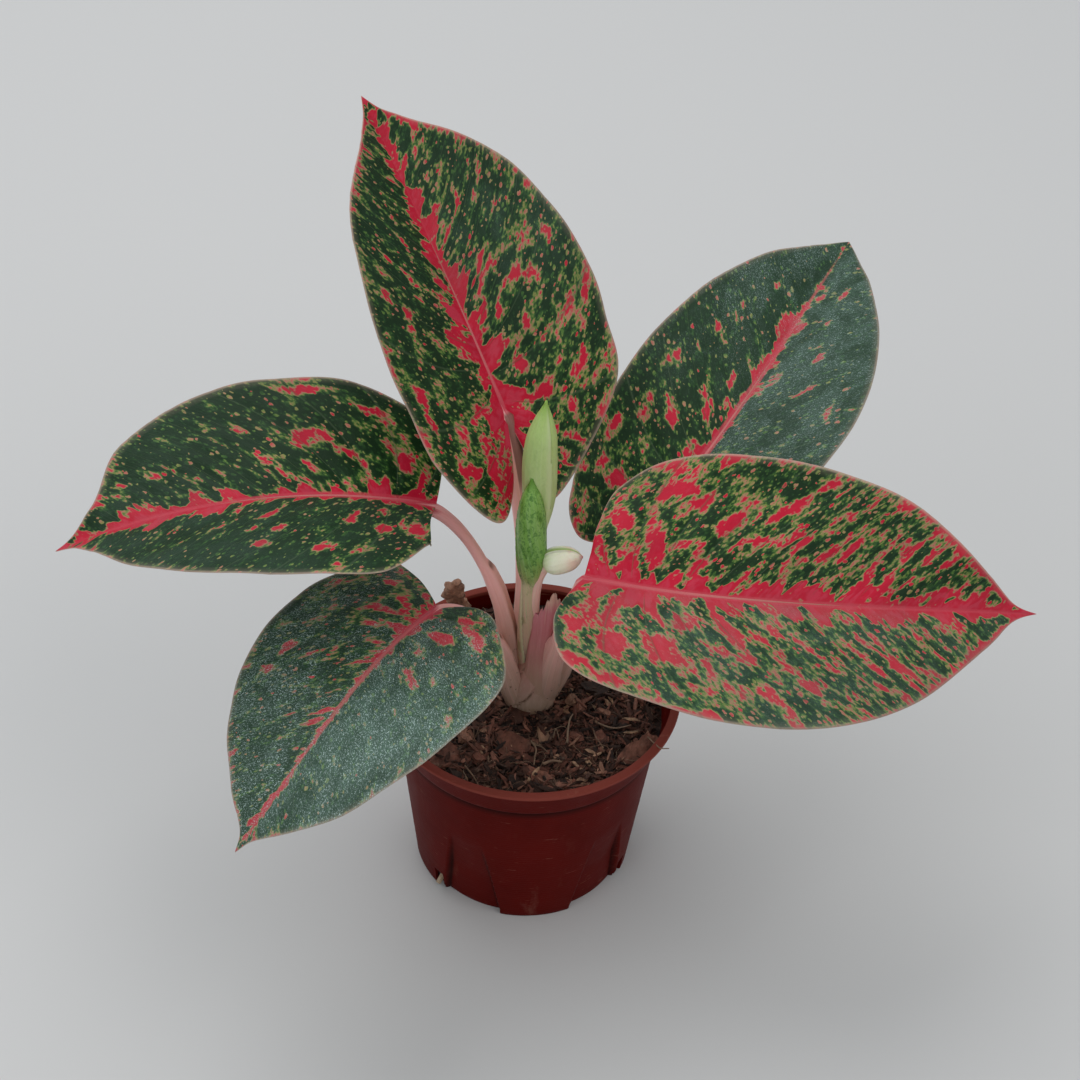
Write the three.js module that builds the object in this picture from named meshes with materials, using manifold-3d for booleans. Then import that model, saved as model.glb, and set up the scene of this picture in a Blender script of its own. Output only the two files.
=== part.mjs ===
// Potted chinese evergreen: a thin plastic nursery pot, its potting mix, and a young plant with
// five blotched leaves, a rolled leaf, a spathe and a spathe bud.
// Millimetres and degrees. Origin at the centre of the pot's foot, +Z up, the plant's front at -Y.

import * as THREE from 'three';
import { mergeVertices } from 'three/addons/utils/BufferGeometryUtils.js';
import Module from 'manifold-3d';

const wasm = await Module();
wasm.setup();

// ---------------------------------------------------------------- driving dimensions

const gap = 0.3;             // clearance between neighbouring pieces

const pot = {
  height: 80.5,
  rimRadius: 55,             // outside of the lip
  footRadius: 40,
  wall: 1.2,
  floor: 1.5,
  lipDepth: 1.6,
  lipOverhang: 2,
  edge: 0.4,                 // bevel of the lip and of the collar's step
  footEdge: 0.6,
  collarDepth: 15,           // from the rim down to the step
  collarStep: 0.9,
  collarFootRadius: 47.8,    // outside of the wall just below the step
  panels: 5,                 // recessed panels round the lower half
  firstPanelTurn: -117,
  panelHalfAngle: 17,
  panelDepth: 2.2,
  panelTop: 40,
  panelTopShare: 0.55,       // a panel's width at its top, as a share of its width at the foot
  panelFade: 1.6,            // how fast it reaches its full depth below its top
  panelEdge: 0.04,           // half width of a panel's side step, as a share of its half angle
  slotAngle: 3.4,            // half width of a drain slot, beside each panel
  slotHeight: 9,
  slotReach: 6.5,            // from the foot's edge inwards
  slotClear: 3.5,            // and outwards, past the wall
};

const soil = {
  level: 73,
  backRise: 4,               // it lies higher towards the back left
  riseSpan: 80,
  relief: 0.8,
  wallDip: 0.6,              // it lies lower along the wall
  seed: 4127,
  chips: 24,
  chipReach: [14, 45],       // from the axis
  chipLength: [5, 11],
  chipWidth: [3, 6],
  chipThickness: [2, 3.5],
  chipTilt: [-12.5, 12.5],
  chipProud: 0.15,           // how far its middle lies above the soil, in thicknesses
  fibres: 6,
  fibreReach: [16, 40],
  fibreSpan: [7, 13],
  fibreRise: [2.6, 3.6],
  fibreSunk: 1.5,
  fibreRadius: 0.5,
};

// Radius and height up the stem: buried base, the shoulder that the leaf bases stand on just under
// the soil, and the core between them.
const crown = {
  centre: [0.5, 4],
  profile: [[0, 42], [4.5, 43], [7.5, 54], [7.5, 66], [4.2, 66], [4.2, 76], [2.6, 88], [0, 90]],
  sides: 14,
  rootTop: 50,
};

const blade = {
  thickness: 0.8,
  keelDepth: 1.7,            // rib under the midrib, at the stalk
  rows: 17,
  columns: [0, 0.06, 0.38, 0.7, 1],
  rowBunching: 1.9,          // how far rows crowd towards the stalk along the midrib
  columnSweep: 1.35,
};

// foot, bend1, bend2: control points of the stalk; base: where the blade begins.
// heading and rise: direction of the midrib at the base and at the tip; bow: its sideways bend.
// Pairs hold the left half's value and then the right half's, seen from above along the leaf.
const leaves = {
  leaf_top: {
    foot: [-2.5, 7.5, 67], bend1: [-3, 10, 110], bend2: [-3.6, 20, 150], base: [-12.3, 27.7, 184],
    length: 120, halfWidth: [49, 50], heading: [132, 133], bow: 1.5, rise: [51.5, 46], roll: [1, 9],
    fold: [19, 18], droop: [1.6, 1.5], lobe: [0.25, 0.27], lobeWidth: [1.05, 0.45],
    shoulder: [0.87, 0.82], shift: [0.01, -0.01], tip: 0.84, wave: [1.2, 4, 0.4],
  },
  leaf_right: {
    foot: [5.2, 1.6, 67], bend1: [7.4, -1.8, 100], bend2: [12.5, -12, 132], base: [16.8, -16.4, 151],
    length: 157.5, halfWidth: [51.5, 50], heading: [-12, 6], bow: 5.8, rise: [-0.5, -6], roll: [10, 51],
    fold: [9, 12], droop: [1.1, 0.9], lobe: [0, 0.03], lobeWidth: [0.85, 1],
    shoulder: [0.73, 0.85], shift: [-0.01, -0.02], tip: 0.86, wave: [1.3, 4, 2.1],
  },
  leaf_left: {
    foot: [-5, 4, 67], bend1: [-6, 4, 112], bend2: [-20, 5, 150], base: [-35.2, 5.7, 160.6],
    length: 134.5, halfWidth: [47, 48], heading: [185.5, 187], bow: 3, rise: [16, -27], roll: [-5, -1],
    fold: [16, 16], droop: [3.5, 0.7], lobe: [-0.03, 0.01], lobeWidth: [1.08, 1.06],
    shoulder: [0.55, 0.65], shift: [0, 0.05], tip: 0.76, wave: [1.2, 4, 4.2],
  },
  leaf_back: {
    foot: [7, 7, 67], bend1: [13, 8.5, 95], bend2: [26, 12, 125], base: [36.7, 16.4, 141],
    length: 150, halfWidth: [45, 45], heading: [46, 65], bow: 3.8, rise: [31, 4], roll: [-11.5, 12.5],
    fold: [12.5, 12.5], droop: [4.2, 3], lobe: [0.08, 0.08], lobeWidth: [1, 1],
    shoulder: [0.82, 0.8], shift: [0.01, -0.01], tip: 1.03, wave: [1.1, 4, 1.2],
  },
  leaf_front: {
    foot: [-4.8, 0.3, 67], bend1: [-10, -3.4, 106], bend2: [-22, -8, 129.5], base: [-32.9, -16, 132.8],
    length: 118, halfWidth: [43.5, 44], heading: [235.5, 225.5], bow: 8.6, rise: [12, -39.5],
    roll: [-2, 15.5], fold: [7, 5], droop: [4.6, 5.1], lobe: [0.08, 0.09], lobeWidth: [0.71, 1.6],
    shoulder: [0.64, 0.79], shift: [0.02, 0.01], tip: 1.03, wave: [1, 4, 5.2],
  },
};

// Half outline of a blade, from the stalk round the lobe and shoulder to the tip:
// along the midrib in blade lengths, across it in half widths.
const bladeOutline = [
  [0, 0], [-0.75, 0.22], [-1, 0.5], [-0.3, 0.8], [0.16, 0.965], [0.36, 1],
  [0.56, 0.905], [0.74, 0.67], [0.88, 0.35], [0.955, 0.13], [1, 0],
];

// ---------------------------------------------------------------- materials

function finish(color, roughness) {
  return new THREE.MeshStandardMaterial({ color, roughness, metalness: 0 });
}

const finishes = {
  pot: finish(0x7a2a22, 0.55),
  soil: finish(0x3a2620, 0.95),
  bark: finish(0x6b4632, 0.9),
  crown: finish(0xb9968a, 0.6),
  redLeaf: finish(0x7d2f3a, 0.45),
  darkLeaf: finish(0x3c5a45, 0.5),
  youngLeaf: finish(0x5f8a3a, 0.5),
  spathe: finish(0xa8bd7c, 0.5),
  bud: finish(0xd8d7bb, 0.5),
  sheath: finish(0x9a6468, 0.6),
};

// ---------------------------------------------------------------- small helpers

const rad = THREE.MathUtils.degToRad;
const mix = THREE.MathUtils.lerp;
const vec = (list) => new THREE.Vector3(...list);

// Seeded random numbers between 0 and 1.
function randomSource(seed) {
  let state = seed;
  return () => {
    state = (state * 16807) % 2147483647;
    return state / 2147483647;
  };
}

// Smoothed value of a list at t between 0 and 1.
function profileAt(values, t) {
  const place = THREE.MathUtils.clamp(t, 0, 1) * (values.length - 1);
  const low = Math.min(Math.floor(place), values.length - 2);
  const blend = THREE.MathUtils.smoothstep(place - low, 0, 1);
  return mix(values[low], values[low + 1], blend);
}

function geometryFrom(points, faces) {
  const geometry = new THREE.BufferGeometry();
  geometry.setAttribute('position', new THREE.Float32BufferAttribute(points.flatMap((p) => p.toArray()), 3));
  geometry.setIndex(faces.flat());
  return geometry;
}

function toSolid(geometry) {
  const bare = geometry.clone();
  bare.deleteAttribute('normal');
  bare.deleteAttribute('uv');
  const merged = mergeVertices(bare, 1e-4);
  const mesh = new wasm.Mesh({
    numProp: 3,
    vertProperties: Float32Array.from(merged.attributes.position.array),
    triVerts: Uint32Array.from(merged.index.array),
  });
  return new wasm.Manifold(mesh);
}

function toGeometry(solid) {
  const mesh = solid.getMesh();
  const geometry = new THREE.BufferGeometry();
  geometry.setAttribute('position', new THREE.BufferAttribute(Float32Array.from(mesh.vertProperties), 3));
  geometry.setIndex(Array.from(mesh.triVerts));
  geometry.computeVertexNormals();
  return geometry;
}

// Drops the loose scraps that a cut can leave.
function largestBody(solid) {
  return solid.decompose().reduce((best, body) => (body.volume() > best.volume() ? body : best));
}

// Faces between closed rings of points, with a pole at each end.
// rings[i] is a list of points, all rings alike; the first and last pole close the ends.
// slant picks the diagonal that splits each quad.
function ringBody(rings, firstPole, lastPole, slant = 0) {
  const count = rings[0].length;
  const points = [firstPole, ...rings.flat(), lastPole];
  const at = (ring, k) => 1 + ring * count + (k % count);
  const last = points.length - 1;
  const faces = [];
  for (let k = 0; k < count; k += 1) {
    faces.push([0, at(0, k + 1), at(0, k)]);
    faces.push([last, at(rings.length - 1, k), at(rings.length - 1, k + 1)]);
  }
  for (let i = 0; i < rings.length - 1; i += 1) {
    for (let k = 0; k < count; k += 1) {
      faces.push([at(i, k), at(i, k + 1), at(i + 1, k + 1 - slant)]);
      faces.push([at(i, k + slant), at(i + 1, k + 1), at(i + 1, k)]);
    }
  }
  return geometryFrom(points, faces);
}

// Body swept along a curve. radiusAt(t, angle) gives the section; angle 0 faces `outward`.
function sweptBody(curve, outward, radiusAt, sides, steps) {
  const rings = [];
  for (let i = 0; i <= steps; i += 1) {
    const t = i / steps;
    const along = curve.getTangent(t);
    const centre = curve.getPoint(t);
    const out = outward.clone().addScaledVector(along, -outward.dot(along)).normalize();
    const side = along.clone().cross(out);
    const ring = [];
    for (let k = 0; k < sides; k += 1) {
      const angle = (2 * Math.PI * k) / sides;
      const radius = radiusAt(t, angle);
      const place = centre.clone().addScaledVector(out, radius * Math.cos(angle));
      ring.push(place.addScaledVector(side, radius * Math.sin(angle)));
    }
    rings.push(ring);
  }
  const startPole = curve.getPoint(0).addScaledVector(curve.getTangent(0), -0.2 * radiusAt(0, 0));
  const endPole = curve.getPoint(1).addScaledVector(curve.getTangent(1), 0.4 * radiusAt(1, 0));
  return toSolid(ringBody(rings, startPole, endPole));
}

// ---------------------------------------------------------------- pot

// A panel is deepest and widest at the foot and runs out at its top.
function panelAt(z) {
  const taper = THREE.MathUtils.clamp((pot.panelTop - z) / pot.panelTop, 0, 1);
  const narrowing = z > pot.panelTop ? 1 : mix(pot.panelTopShare, 1, taper);
  const depth = pot.panelDepth * Math.min(1, pot.panelFade * taper);
  return { depth, halfAngle: pot.panelHalfAngle * narrowing };
}

function panelDip(turn, z) {
  const pitch = 360 / pot.panels;
  const offset = THREE.MathUtils.euclideanModulo(turn - pot.firstPanelTurn + pitch / 2, pitch) - pitch / 2;
  const { depth, halfAngle } = panelAt(z);
  const fromEdge = 1 + pot.panelEdge - Math.abs(offset) / halfAngle;
  return depth * THREE.MathUtils.clamp(fromEdge / (2 * pot.panelEdge), 0, 1);
}

function wallRadius(turn, z) {
  const stepHeight = pot.height - pot.collarDepth;
  const below = mix(pot.footRadius, pot.collarFootRadius, Math.min(z / stepHeight, 1));
  const collarTop = pot.rimRadius - pot.lipOverhang;
  const along = THREE.MathUtils.clamp((z - stepHeight) / (pot.collarDepth - pot.lipDepth), 0, 1);
  const collar = mix(pot.collarFootRadius + pot.collarStep, collarTop, along);
  const step = THREE.MathUtils.clamp((z - stepHeight) / (2 * pot.edge) + 0.5, 0, 1);
  return mix(below, collar, step) - panelDip(turn, z);
}

// Columns of the wall at a height; they follow the panels' edges, so that the steps stay crisp.
function wallTurns(z) {
  const pitch = 360 / pot.panels;
  const { halfAngle } = panelAt(z);
  const outer = 1 + pot.panelEdge;
  const inner = 1 - pot.panelEdge;
  const free = pitch - 2 * outer * halfAngle;
  const offsets = [-outer, -inner, -inner / 3, inner / 3, inner, outer].map((share) => share * halfAngle);
  for (const share of [0.25, 0.5, 0.75]) {
    offsets.push(outer * halfAngle + share * free);
  }
  const turns = [];
  for (let panel = 0; panel < pot.panels; panel += 1) {
    for (const offset of offsets) {
      turns.push(pot.firstPanelTurn + panel * pitch + offset);
    }
  }
  return turns;
}

function aroundAxis(radius, turn, z) {
  return new THREE.Vector3(radius * Math.cos(rad(turn)), radius * Math.sin(rad(turn)), z);
}

function wallRing(z, inset) {
  return wallTurns(z).map((turn) => aroundAxis(wallRadius(turn, z) - inset, turn, z));
}

function rimRing(radius, z) {
  return wallTurns(z).map((turn) => aroundAxis(radius, turn, z));
}

// Heights of the wall's rings, from the floor to the lip.
const wallLevels = [12, 24, 32, pot.panelTop, 53,
  pot.height - pot.collarDepth - pot.edge, pot.height - pot.collarDepth + pot.edge];

function makePot() {
  const lipBottom = pot.height - pot.lipDepth;
  const rings = [wallRing(0, pot.footEdge), wallRing(pot.footEdge, 0)];
  rings.push(...wallLevels.map((z) => wallRing(z, 0)), wallRing(lipBottom, 0));
  rings.push(rimRing(pot.rimRadius, lipBottom + pot.edge), rimRing(pot.rimRadius, pot.height - pot.edge));
  rings.push(rimRing(pot.rimRadius - pot.edge, pot.height), wallRing(pot.height, pot.wall));
  rings.push(...wallLevels.toReversed().map((z) => wallRing(z, pot.wall)), wallRing(pot.floor, pot.wall));
  const shell = toSolid(ringBody(rings, new THREE.Vector3(0, 0, 0), new THREE.Vector3(0, 0, pot.floor)));
  return toGeometry(largestBody(cutDrainSlots(shell)));
}

// One slot beside each recessed panel, by turns on its left and on its right,
// through the foot of the wall and the edge of the floor.
function cutDrainSlots(shell) {
  let solid = shell;
  for (let panel = 0; panel < pot.panels; panel += 1) {
    const side = panel % 2 === 0 ? -1 : 1;
    const middle = pot.firstPanelTurn + (panel * 360) / pot.panels;
    const turn = middle + side * (pot.panelHalfAngle + pot.slotAngle);
    const width = 2 * pot.footRadius * Math.sin(rad(pot.slotAngle));
    const slot = new THREE.BoxGeometry(pot.slotReach + pot.slotClear, width, 2 * pot.slotHeight);
    slot.translate(pot.footRadius + (pot.slotClear - pot.slotReach) / 2, 0, 0);
    slot.rotateZ(rad(turn));
    solid = solid.subtract(toSolid(slot));
  }
  return solid;
}

// ---------------------------------------------------------------- leaves

// Point, direction, sideways and upward axes of the midrib at a distance from the stalk.
function midribFrame(spec, distance) {
  const steps = 24;
  const directionAt = (q) => {
    const heading = rad(mix(...spec.heading, q) + spec.bow * 4 * q * (1 - q));
    const rise = rad(mix(...spec.rise, q));
    return new THREE.Vector3(
      Math.cos(rise) * Math.cos(heading), Math.cos(rise) * Math.sin(heading), Math.sin(rise));
  };
  const reach = Math.min(Math.max(distance, 0), spec.length);
  const place = vec(spec.base);
  for (let i = 0; i < steps; i += 1) {
    place.addScaledVector(directionAt(((i + 0.5) / steps) * (reach / spec.length)), reach / steps);
  }
  const q = reach / spec.length;
  const along = directionAt(q);
  place.addScaledVector(along, Math.min(distance, 0));
  const level = new THREE.Vector3(-along.y, along.x, 0).normalize();
  const upright = along.clone().cross(level);
  const roll = rad(mix(...spec.roll, q));
  const left = level.clone().multiplyScalar(Math.cos(roll)).addScaledVector(upright, Math.sin(roll));
  const up = upright.multiplyScalar(Math.cos(roll)).addScaledVector(level, -Math.sin(roll));
  return { place, along, left, up };
}

function halfOutline(spec, half) {
  const lobe = spec.lobe[half];
  const points = bladeOutline.map(([x, y]) => new THREE.Vector2(x, y));
  for (const k of [1, 2]) {
    points[k].x *= lobe;
    points[k].y *= spec.lobeWidth[half];
  }
  points[3].set(0.03 + points[3].x * lobe, spec.shoulder[half]);
  for (const k of [4, 5, 6, 7]) {
    points[k].x += spec.shift[half];
  }
  points[8].y *= spec.tip;
  points[9].y *= spec.tip;
  return new THREE.SplineCurve(points);
}

// Middle of the blade at row (0 stalk, 1 tip) and column (0 midrib, 1 edge) of a half.
function bladePoint(spec, outline, half, row, column) {
  const edge = outline.getPoint(row);
  const start = row ** blade.rowBunching;
  const distance = mix(start, edge.x, column ** blade.columnSweep) * spec.length;
  const width = spec.halfWidth[half];
  const across = edge.y * column * width;
  const frame = midribFrame(spec, distance);
  const fold = rad(spec.fold[half]);
  const [height, waves, phase] = spec.wave;
  const ripple = height * column ** 2 * Math.sin(2 * Math.PI * waves * row + phase + 2 * half);
  const lift = across * Math.sin(fold) - spec.droop[half] * (across / width) ** 2;
  const sideways = (half === 0 ? 1 : -1) * across * Math.cos(fold);
  const fade = Math.min(1, 6 * row * (1 - row));
  frame.place.addScaledVector(frame.left, sideways).addScaledVector(frame.up, lift + ripple * fade);
  return frame;
}

function makeBlade(spec) {
  const columns = [];
  for (const column of blade.columns.slice(1).reverse()) {
    columns.push([1, column]);
  }
  for (const column of blade.columns) {
    columns.push([0, column]);
  }
  const outlines = [halfOutline(spec, 0), halfOutline(spec, 1)];
  const tops = [];
  const bottoms = [];
  for (let i = 1; i < blade.rows; i += 1) {
    const row = i / blade.rows;
    const top = [];
    const bottom = [];
    for (const [half, column] of columns) {
      const { place, up } = bladePoint(spec, outlines[half], half, row, column);
      const keel = column === 0 ? blade.keelDepth * (1 - 0.85 * row) : 0;
      top.push(place.clone().addScaledVector(up, blade.thickness / 2));
      bottom.push(place.clone().addScaledVector(up, -blade.thickness / 2 - keel));
    }
    tops.push(top);
    bottoms.push(bottom);
  }
  return toSolid(sheetBody(spec, tops, bottoms));
}

// Joins the upper and lower faces of a blade; both are split into triangles alike.
function sheetBody(spec, tops, bottoms) {
  const width = tops[0].length;
  const points = [];
  const ends = [midribFrame(spec, 0), midribFrame(spec, spec.length)];
  for (const side of [1, -1]) {
    for (const { place, up } of ends) {
      points.push(place.clone().addScaledVector(up, (side * blade.thickness) / 2));
    }
  }
  const grids = [tops, bottoms].map((rows) => rows.map((row) => row.map((point) => points.push(point) - 1)));
  const faces = [];
  const addFace = (a, b, c, upper) => faces.push(upper ? [a, b, c] : [a, c, b]);
  grids.forEach((grid, face) => {
    const upper = face === 0;
    const [start, end] = upper ? [0, 1] : [2, 3];
    for (let k = 0; k < width - 1; k += 1) {
      addFace(start, grid[0][k], grid[0][k + 1], upper);
      addFace(end, grid.at(-1)[k + 1], grid.at(-1)[k], upper);
      for (let i = 0; i < grid.length - 1; i += 1) {
        addFace(grid[i][k], grid[i + 1][k], grid[i + 1][k + 1], upper);
        addFace(grid[i][k], grid[i + 1][k + 1], grid[i][k + 1], upper);
      }
    }
  });
  for (const [k, rightEdge] of [[0, true], [width - 1, false]]) {
    const upperEdge = [0, ...grids[0].map((row) => row[k]), 1];
    const lowerEdge = [2, ...grids[1].map((row) => row[k]), 3];
    for (let i = 0; i < upperEdge.length - 1; i += 1) {
      addFace(upperEdge[i], lowerEdge[i], lowerEdge[i + 1], rightEdge);
      addFace(upperEdge[i], lowerEdge[i + 1], upperEdge[i + 1], rightEdge);
    }
  }
  return geometryFrom(points, faces);
}

// Stalk with its sheathing foot; it runs out under the first stretch of the midrib.
const stalk = {
  radii: [5.2, 4.9, 4.2, 3.3, 2.9, 2.7, 2.6, 2.5],
  blunt: 0.78,               // the sheath is flatter from front to back
  sheathEnd: 0.45,           // where along the stalk it runs out
  sunk: 1.6,                 // how far the stalk's middle lies under the blade's, where it begins
  tailLength: 9,             // run-out under the midrib
  tailSunk: 1.2,
  tailShare: 0.35,           // radius of the run-out's tip, as a share
  tailStart: 0.93,
  sides: 8,
  steps: 12,
};

function makeStalk(spec, grow) {
  const start = midribFrame(spec, 0);
  const joint = start.place.clone().addScaledVector(start.up, -stalk.sunk);
  const under = midribFrame(spec, stalk.tailLength);
  const tail = under.place.addScaledVector(under.up, -stalk.tailSunk);
  const approach = new THREE.CubicBezierCurve3(vec(spec.foot), vec(spec.bend1), vec(spec.bend2), joint);
  const route = new THREE.CatmullRomCurve3([...approach.getPoints(8), tail], false, 'centripetal');
  const away = new THREE.Vector3(spec.base[0] - spec.foot[0], spec.base[1] - spec.foot[1], 0).normalize();
  const outward = away.add(new THREE.Vector3(0, 0, -1)).normalize();
  const radiusAt = (t, angle) => {
    const sheathing = THREE.MathUtils.clamp(1 - t / stalk.sheathEnd, 0, 1);
    const flat = mix(1, mix(1, stalk.blunt, Math.cos(angle) ** 2), sheathing);
    const ending = THREE.MathUtils.clamp((t - stalk.tailStart) / (1 - stalk.tailStart), 0, 1);
    return profileAt(stalk.radii, t) * flat * mix(1, stalk.tailShare, ending) + grow;
  };
  return sweptBody(route, outward, radiusAt, stalk.sides, stalk.steps);
}

// ---------------------------------------------------------------- crown and roots

const roots = [
  // where each root goes: turn round the crown, reach from the axis, and depth of its end
  { turn: -137.4, reach: pot.footRadius + 1.2, end: 2.8, radius: 1.5 },
  { turn: -60, reach: 33, end: 16, radius: 1.7 },
  { turn: 5, reach: 36, end: 22, radius: 1.6 },
  { turn: 70, reach: 34, end: 12, radius: 1.7 },
  { turn: 140, reach: 38, end: 26, radius: 1.5 },
];

function makeCrown(grow) {
  const [x, y] = crown.centre;
  const last = crown.profile.length - 1;
  const profile = crown.profile.map(([radius, z], i) => {
    const raised = i <= 1 ? z - grow : z + (i === last ? grow : 0);
    return new THREE.Vector2(radius === 0 ? 0 : radius + grow, raised);
  });
  const stem = new THREE.LatheGeometry(profile, crown.sides);
  stem.rotateX(Math.PI / 2);
  stem.translate(x, y, 0);
  let solid = toSolid(stem);
  for (const root of roots) {
    solid = solid.add(makeRoot(root, grow));
  }
  return solid;
}

function makeRoot(root, grow) {
  const [x, y] = crown.centre;
  const start = new THREE.Vector3(x, y, crown.rootTop);
  const end = aroundAxis(root.reach, root.turn, root.end);
  const shoulder = start.clone().lerp(end, 0.45).setZ(mix(start.z, root.end, 0.2));
  const elbow = aroundAxis(root.reach - 6, root.turn, root.end + 8);
  const route = new THREE.CatmullRomCurve3([start, shoulder, elbow, end]);
  const outward = aroundAxis(1, root.turn + 90, 0);
  return sweptBody(route, outward, (t) => root.radius * mix(1.3, 0.7, t) + grow, 6, 9);
}

// ---------------------------------------------------------------- rolled leaf, spathes and sheath

// Control points of the stalk and body, and the section's radius along them.
const shoots = {
  young_leaf: {
    points: [
      [-1.5, 2.5, 87], [-2, 1, 104], [-1.5, -1, 124], [-1, -2, 138], [-2, -1.6, 158], [-2.6, -1, 181],
    ],
    radii: [2, 2.2, 2.4, 2.9, 4.6, 5, 4.9, 3.6, 0.6],
    overlap: 0.16,
    seam: 150,
  },
  spathe: {
    points: [
      [1.5, 7.5, 87], [2, 8, 112], [1.6, 7, 140], [1, 5.6, 168], [0, 4.6, 188], [1, 4.5, 211],
    ],
    radii: [2.1, 2.2, 2.3, 2.5, 3.2, 5.4, 6, 4.6, 0.5],
    overlap: 0.12,
    seam: 35,
  },
  spathe_bud: {
    points: [
      [3.2, 2.2, 87], [1.6, -1.5, 112], [2.2, -3.8, 130], [3.6, -4.2, 141], [7, -4.2, 147.5], [16, -4.2, 149],
    ],
    radii: [1.7, 1.7, 1.8, 1.9, 3.4, 4.6, 4.9, 4, 0.5],
    overlap: 0.1,
    seam: 80,
  },
};

// A blade rolled round itself: the radius grows once round, so that its free edge overlaps.
function makeShoot(spec, grow) {
  const route = new THREE.CatmullRomCurve3(spec.points.map(vec));
  const outward = aroundAxis(1, spec.seam, 0);
  const radiusAt = (t, angle) => {
    const rolled = THREE.MathUtils.smoothstep(t, 0.4, 0.6);
    const growth = spec.overlap * (angle / (2 * Math.PI) - 0.5) * rolled;
    return profileAt(spec.radii, t) * (1 + growth) + grow;
  };
  return sweptBody(route, outward, radiusAt, 10, 14);
}

const sheath = {
  foot: [1.5, 3.5, 78],
  top: [4.8, 1.2, 131],
  radii: [5, 5.3, 5.5, 5],
  thickness: 0.8,
  middleTurn: -35,
  halfAngle: 105,
  tornDepth: [0, 7, 2, 10, 5, 13, 16],
};

// Full body of the space that the sheath wraps, to cut its neighbours clear of it.
function sheathEnvelope() {
  const route = new THREE.LineCurve3(vec(sheath.foot), vec(sheath.top));
  return sweptBody(route, new THREE.Vector3(1, 0, 0), (t) => profileAt(sheath.radii, t) + gap, 16, 6);
}

// Open half tube round the flower stalks, with a torn upper edge.
function makeSheath() {
  const length = sheath.top[2] - sheath.foot[2];
  const columns = 10;
  const rows = 6;
  const outer = [];
  const inner = [];
  for (let i = 0; i <= rows; i += 1) {
    const outerRow = [];
    const innerRow = [];
    for (let k = 0; k <= columns; k += 1) {
      const across = k / columns;
      const height = 1 - profileAt(sheath.tornDepth, Math.abs(across - 0.45) * 1.8) / length;
      const t = (i / rows) * height;
      const centre = vec(sheath.foot).lerp(vec(sheath.top), t);
      const turn = sheath.middleTurn + sheath.halfAngle * (2 * across - 1);
      const radius = profileAt(sheath.radii, t);
      outerRow.push(centre.clone().add(aroundAxis(radius, turn, 0)));
      innerRow.push(centre.clone().add(aroundAxis(radius - sheath.thickness, turn, 0)));
    }
    outer.push(outerRow);
    inner.push(innerRow);
  }
  return toSolid(shellBody(outer, inner));
}

// Closed shell between two grids of points, alike in size.
function shellBody(outer, inner) {
  const rows = outer.length;
  const width = outer[0].length;
  const points = [...outer.flat(), ...inner.flat()];
  const at = (layer, i, k) => layer * rows * width + i * width + k;
  const faces = [];
  const quad = (a, b, c, d) => faces.push([a, b, c], [a, c, d]);
  for (let i = 0; i < rows - 1; i += 1) {
    for (let k = 0; k < width - 1; k += 1) {
      quad(at(0, i, k), at(0, i, k + 1), at(0, i + 1, k + 1), at(0, i + 1, k));
      quad(at(1, i + 1, k), at(1, i + 1, k + 1), at(1, i, k + 1), at(1, i, k));
    }
    quad(at(1, i, 0), at(0, i, 0), at(0, i + 1, 0), at(1, i + 1, 0));
    quad(at(0, i, width - 1), at(1, i, width - 1), at(1, i + 1, width - 1), at(0, i + 1, width - 1));
  }
  for (let k = 0; k < width - 1; k += 1) {
    quad(at(1, 0, k), at(1, 0, k + 1), at(0, 0, k + 1), at(0, 0, k));
    quad(at(0, rows - 1, k), at(0, rows - 1, k + 1), at(1, rows - 1, k + 1), at(1, rows - 1, k));
  }
  return geometryFrom(points, faces);
}

// ---------------------------------------------------------------- soil and bark

function soilHeight(x, y) {
  const back = THREE.MathUtils.clamp((y - x) / soil.riseSpan, -0.4, 1);
  const waves = Math.sin(x * 0.21 + 1) * Math.cos(y * 0.17) + 0.6 * Math.sin(x * 0.47 - y * 0.39);
  return soil.level + soil.backRise * back + soil.relief * waves;
}

// The pot's inner room, less the clearance.
function makeRoom() {
  const clear = pot.wall + gap;
  const rings = [pot.floor + gap, ...wallLevels, pot.height].map((z) => wallRing(z, clear));
  const bottom = new THREE.Vector3(0, 0, pot.floor + gap);
  return toSolid(ringBody(rings, bottom, new THREE.Vector3(0, 0, pot.height), 1));
}

// A rough-topped plug a little wider than the room, which then cuts it to size.
function makeSoilBody() {
  const clear = pot.wall - gap;
  const rings = [0, ...wallLevels].map((z) => wallRing(z, clear));
  for (const share of [1, 0.84, 0.64, 0.42]) {
    rings.push(wallTurns(soil.level).map((turn) => {
      const reach = wallRadius(turn, soil.level) - clear;
      const place = aroundAxis(reach * share, turn, 0);
      return place.setZ(soilHeight(place.x, place.y) - (share === 1 ? soil.wallDip : 0));
    }));
  }
  const peak = new THREE.Vector3(0, 0, soilHeight(0, 0));
  return toSolid(ringBody(rings, new THREE.Vector3(0, 0, 0), peak, 1));
}

// Flat chip with a chipped outline, standing or lying at a place.
function makeChip(size, place, tilt, random) {
  const corners = 5;
  const rings = [];
  for (const [height, share] of [[-0.5, 0.8], [0.1, 1], [0.5, 0.75]]) {
    const ring = [];
    for (let k = 0; k < corners; k += 1) {
      const angle = (2 * Math.PI * k) / corners;
      const reach = share * (0.78 + 0.44 * random());
      ring.push(new THREE.Vector3(
        0.5 * size[0] * reach * Math.cos(angle), 0.5 * size[1] * reach * Math.sin(angle), height * size[2]));
    }
    rings.push(ring);
  }
  const under = new THREE.Vector3(0, 0, -0.5 * size[2]);
  const body = ringBody(rings, under, under.clone().negate());
  body.applyMatrix4(new THREE.Matrix4().makeRotationFromEuler(new THREE.Euler(...tilt.map(rad), 'ZYX')));
  body.translate(...place);
  return toSolid(body);
}

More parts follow.
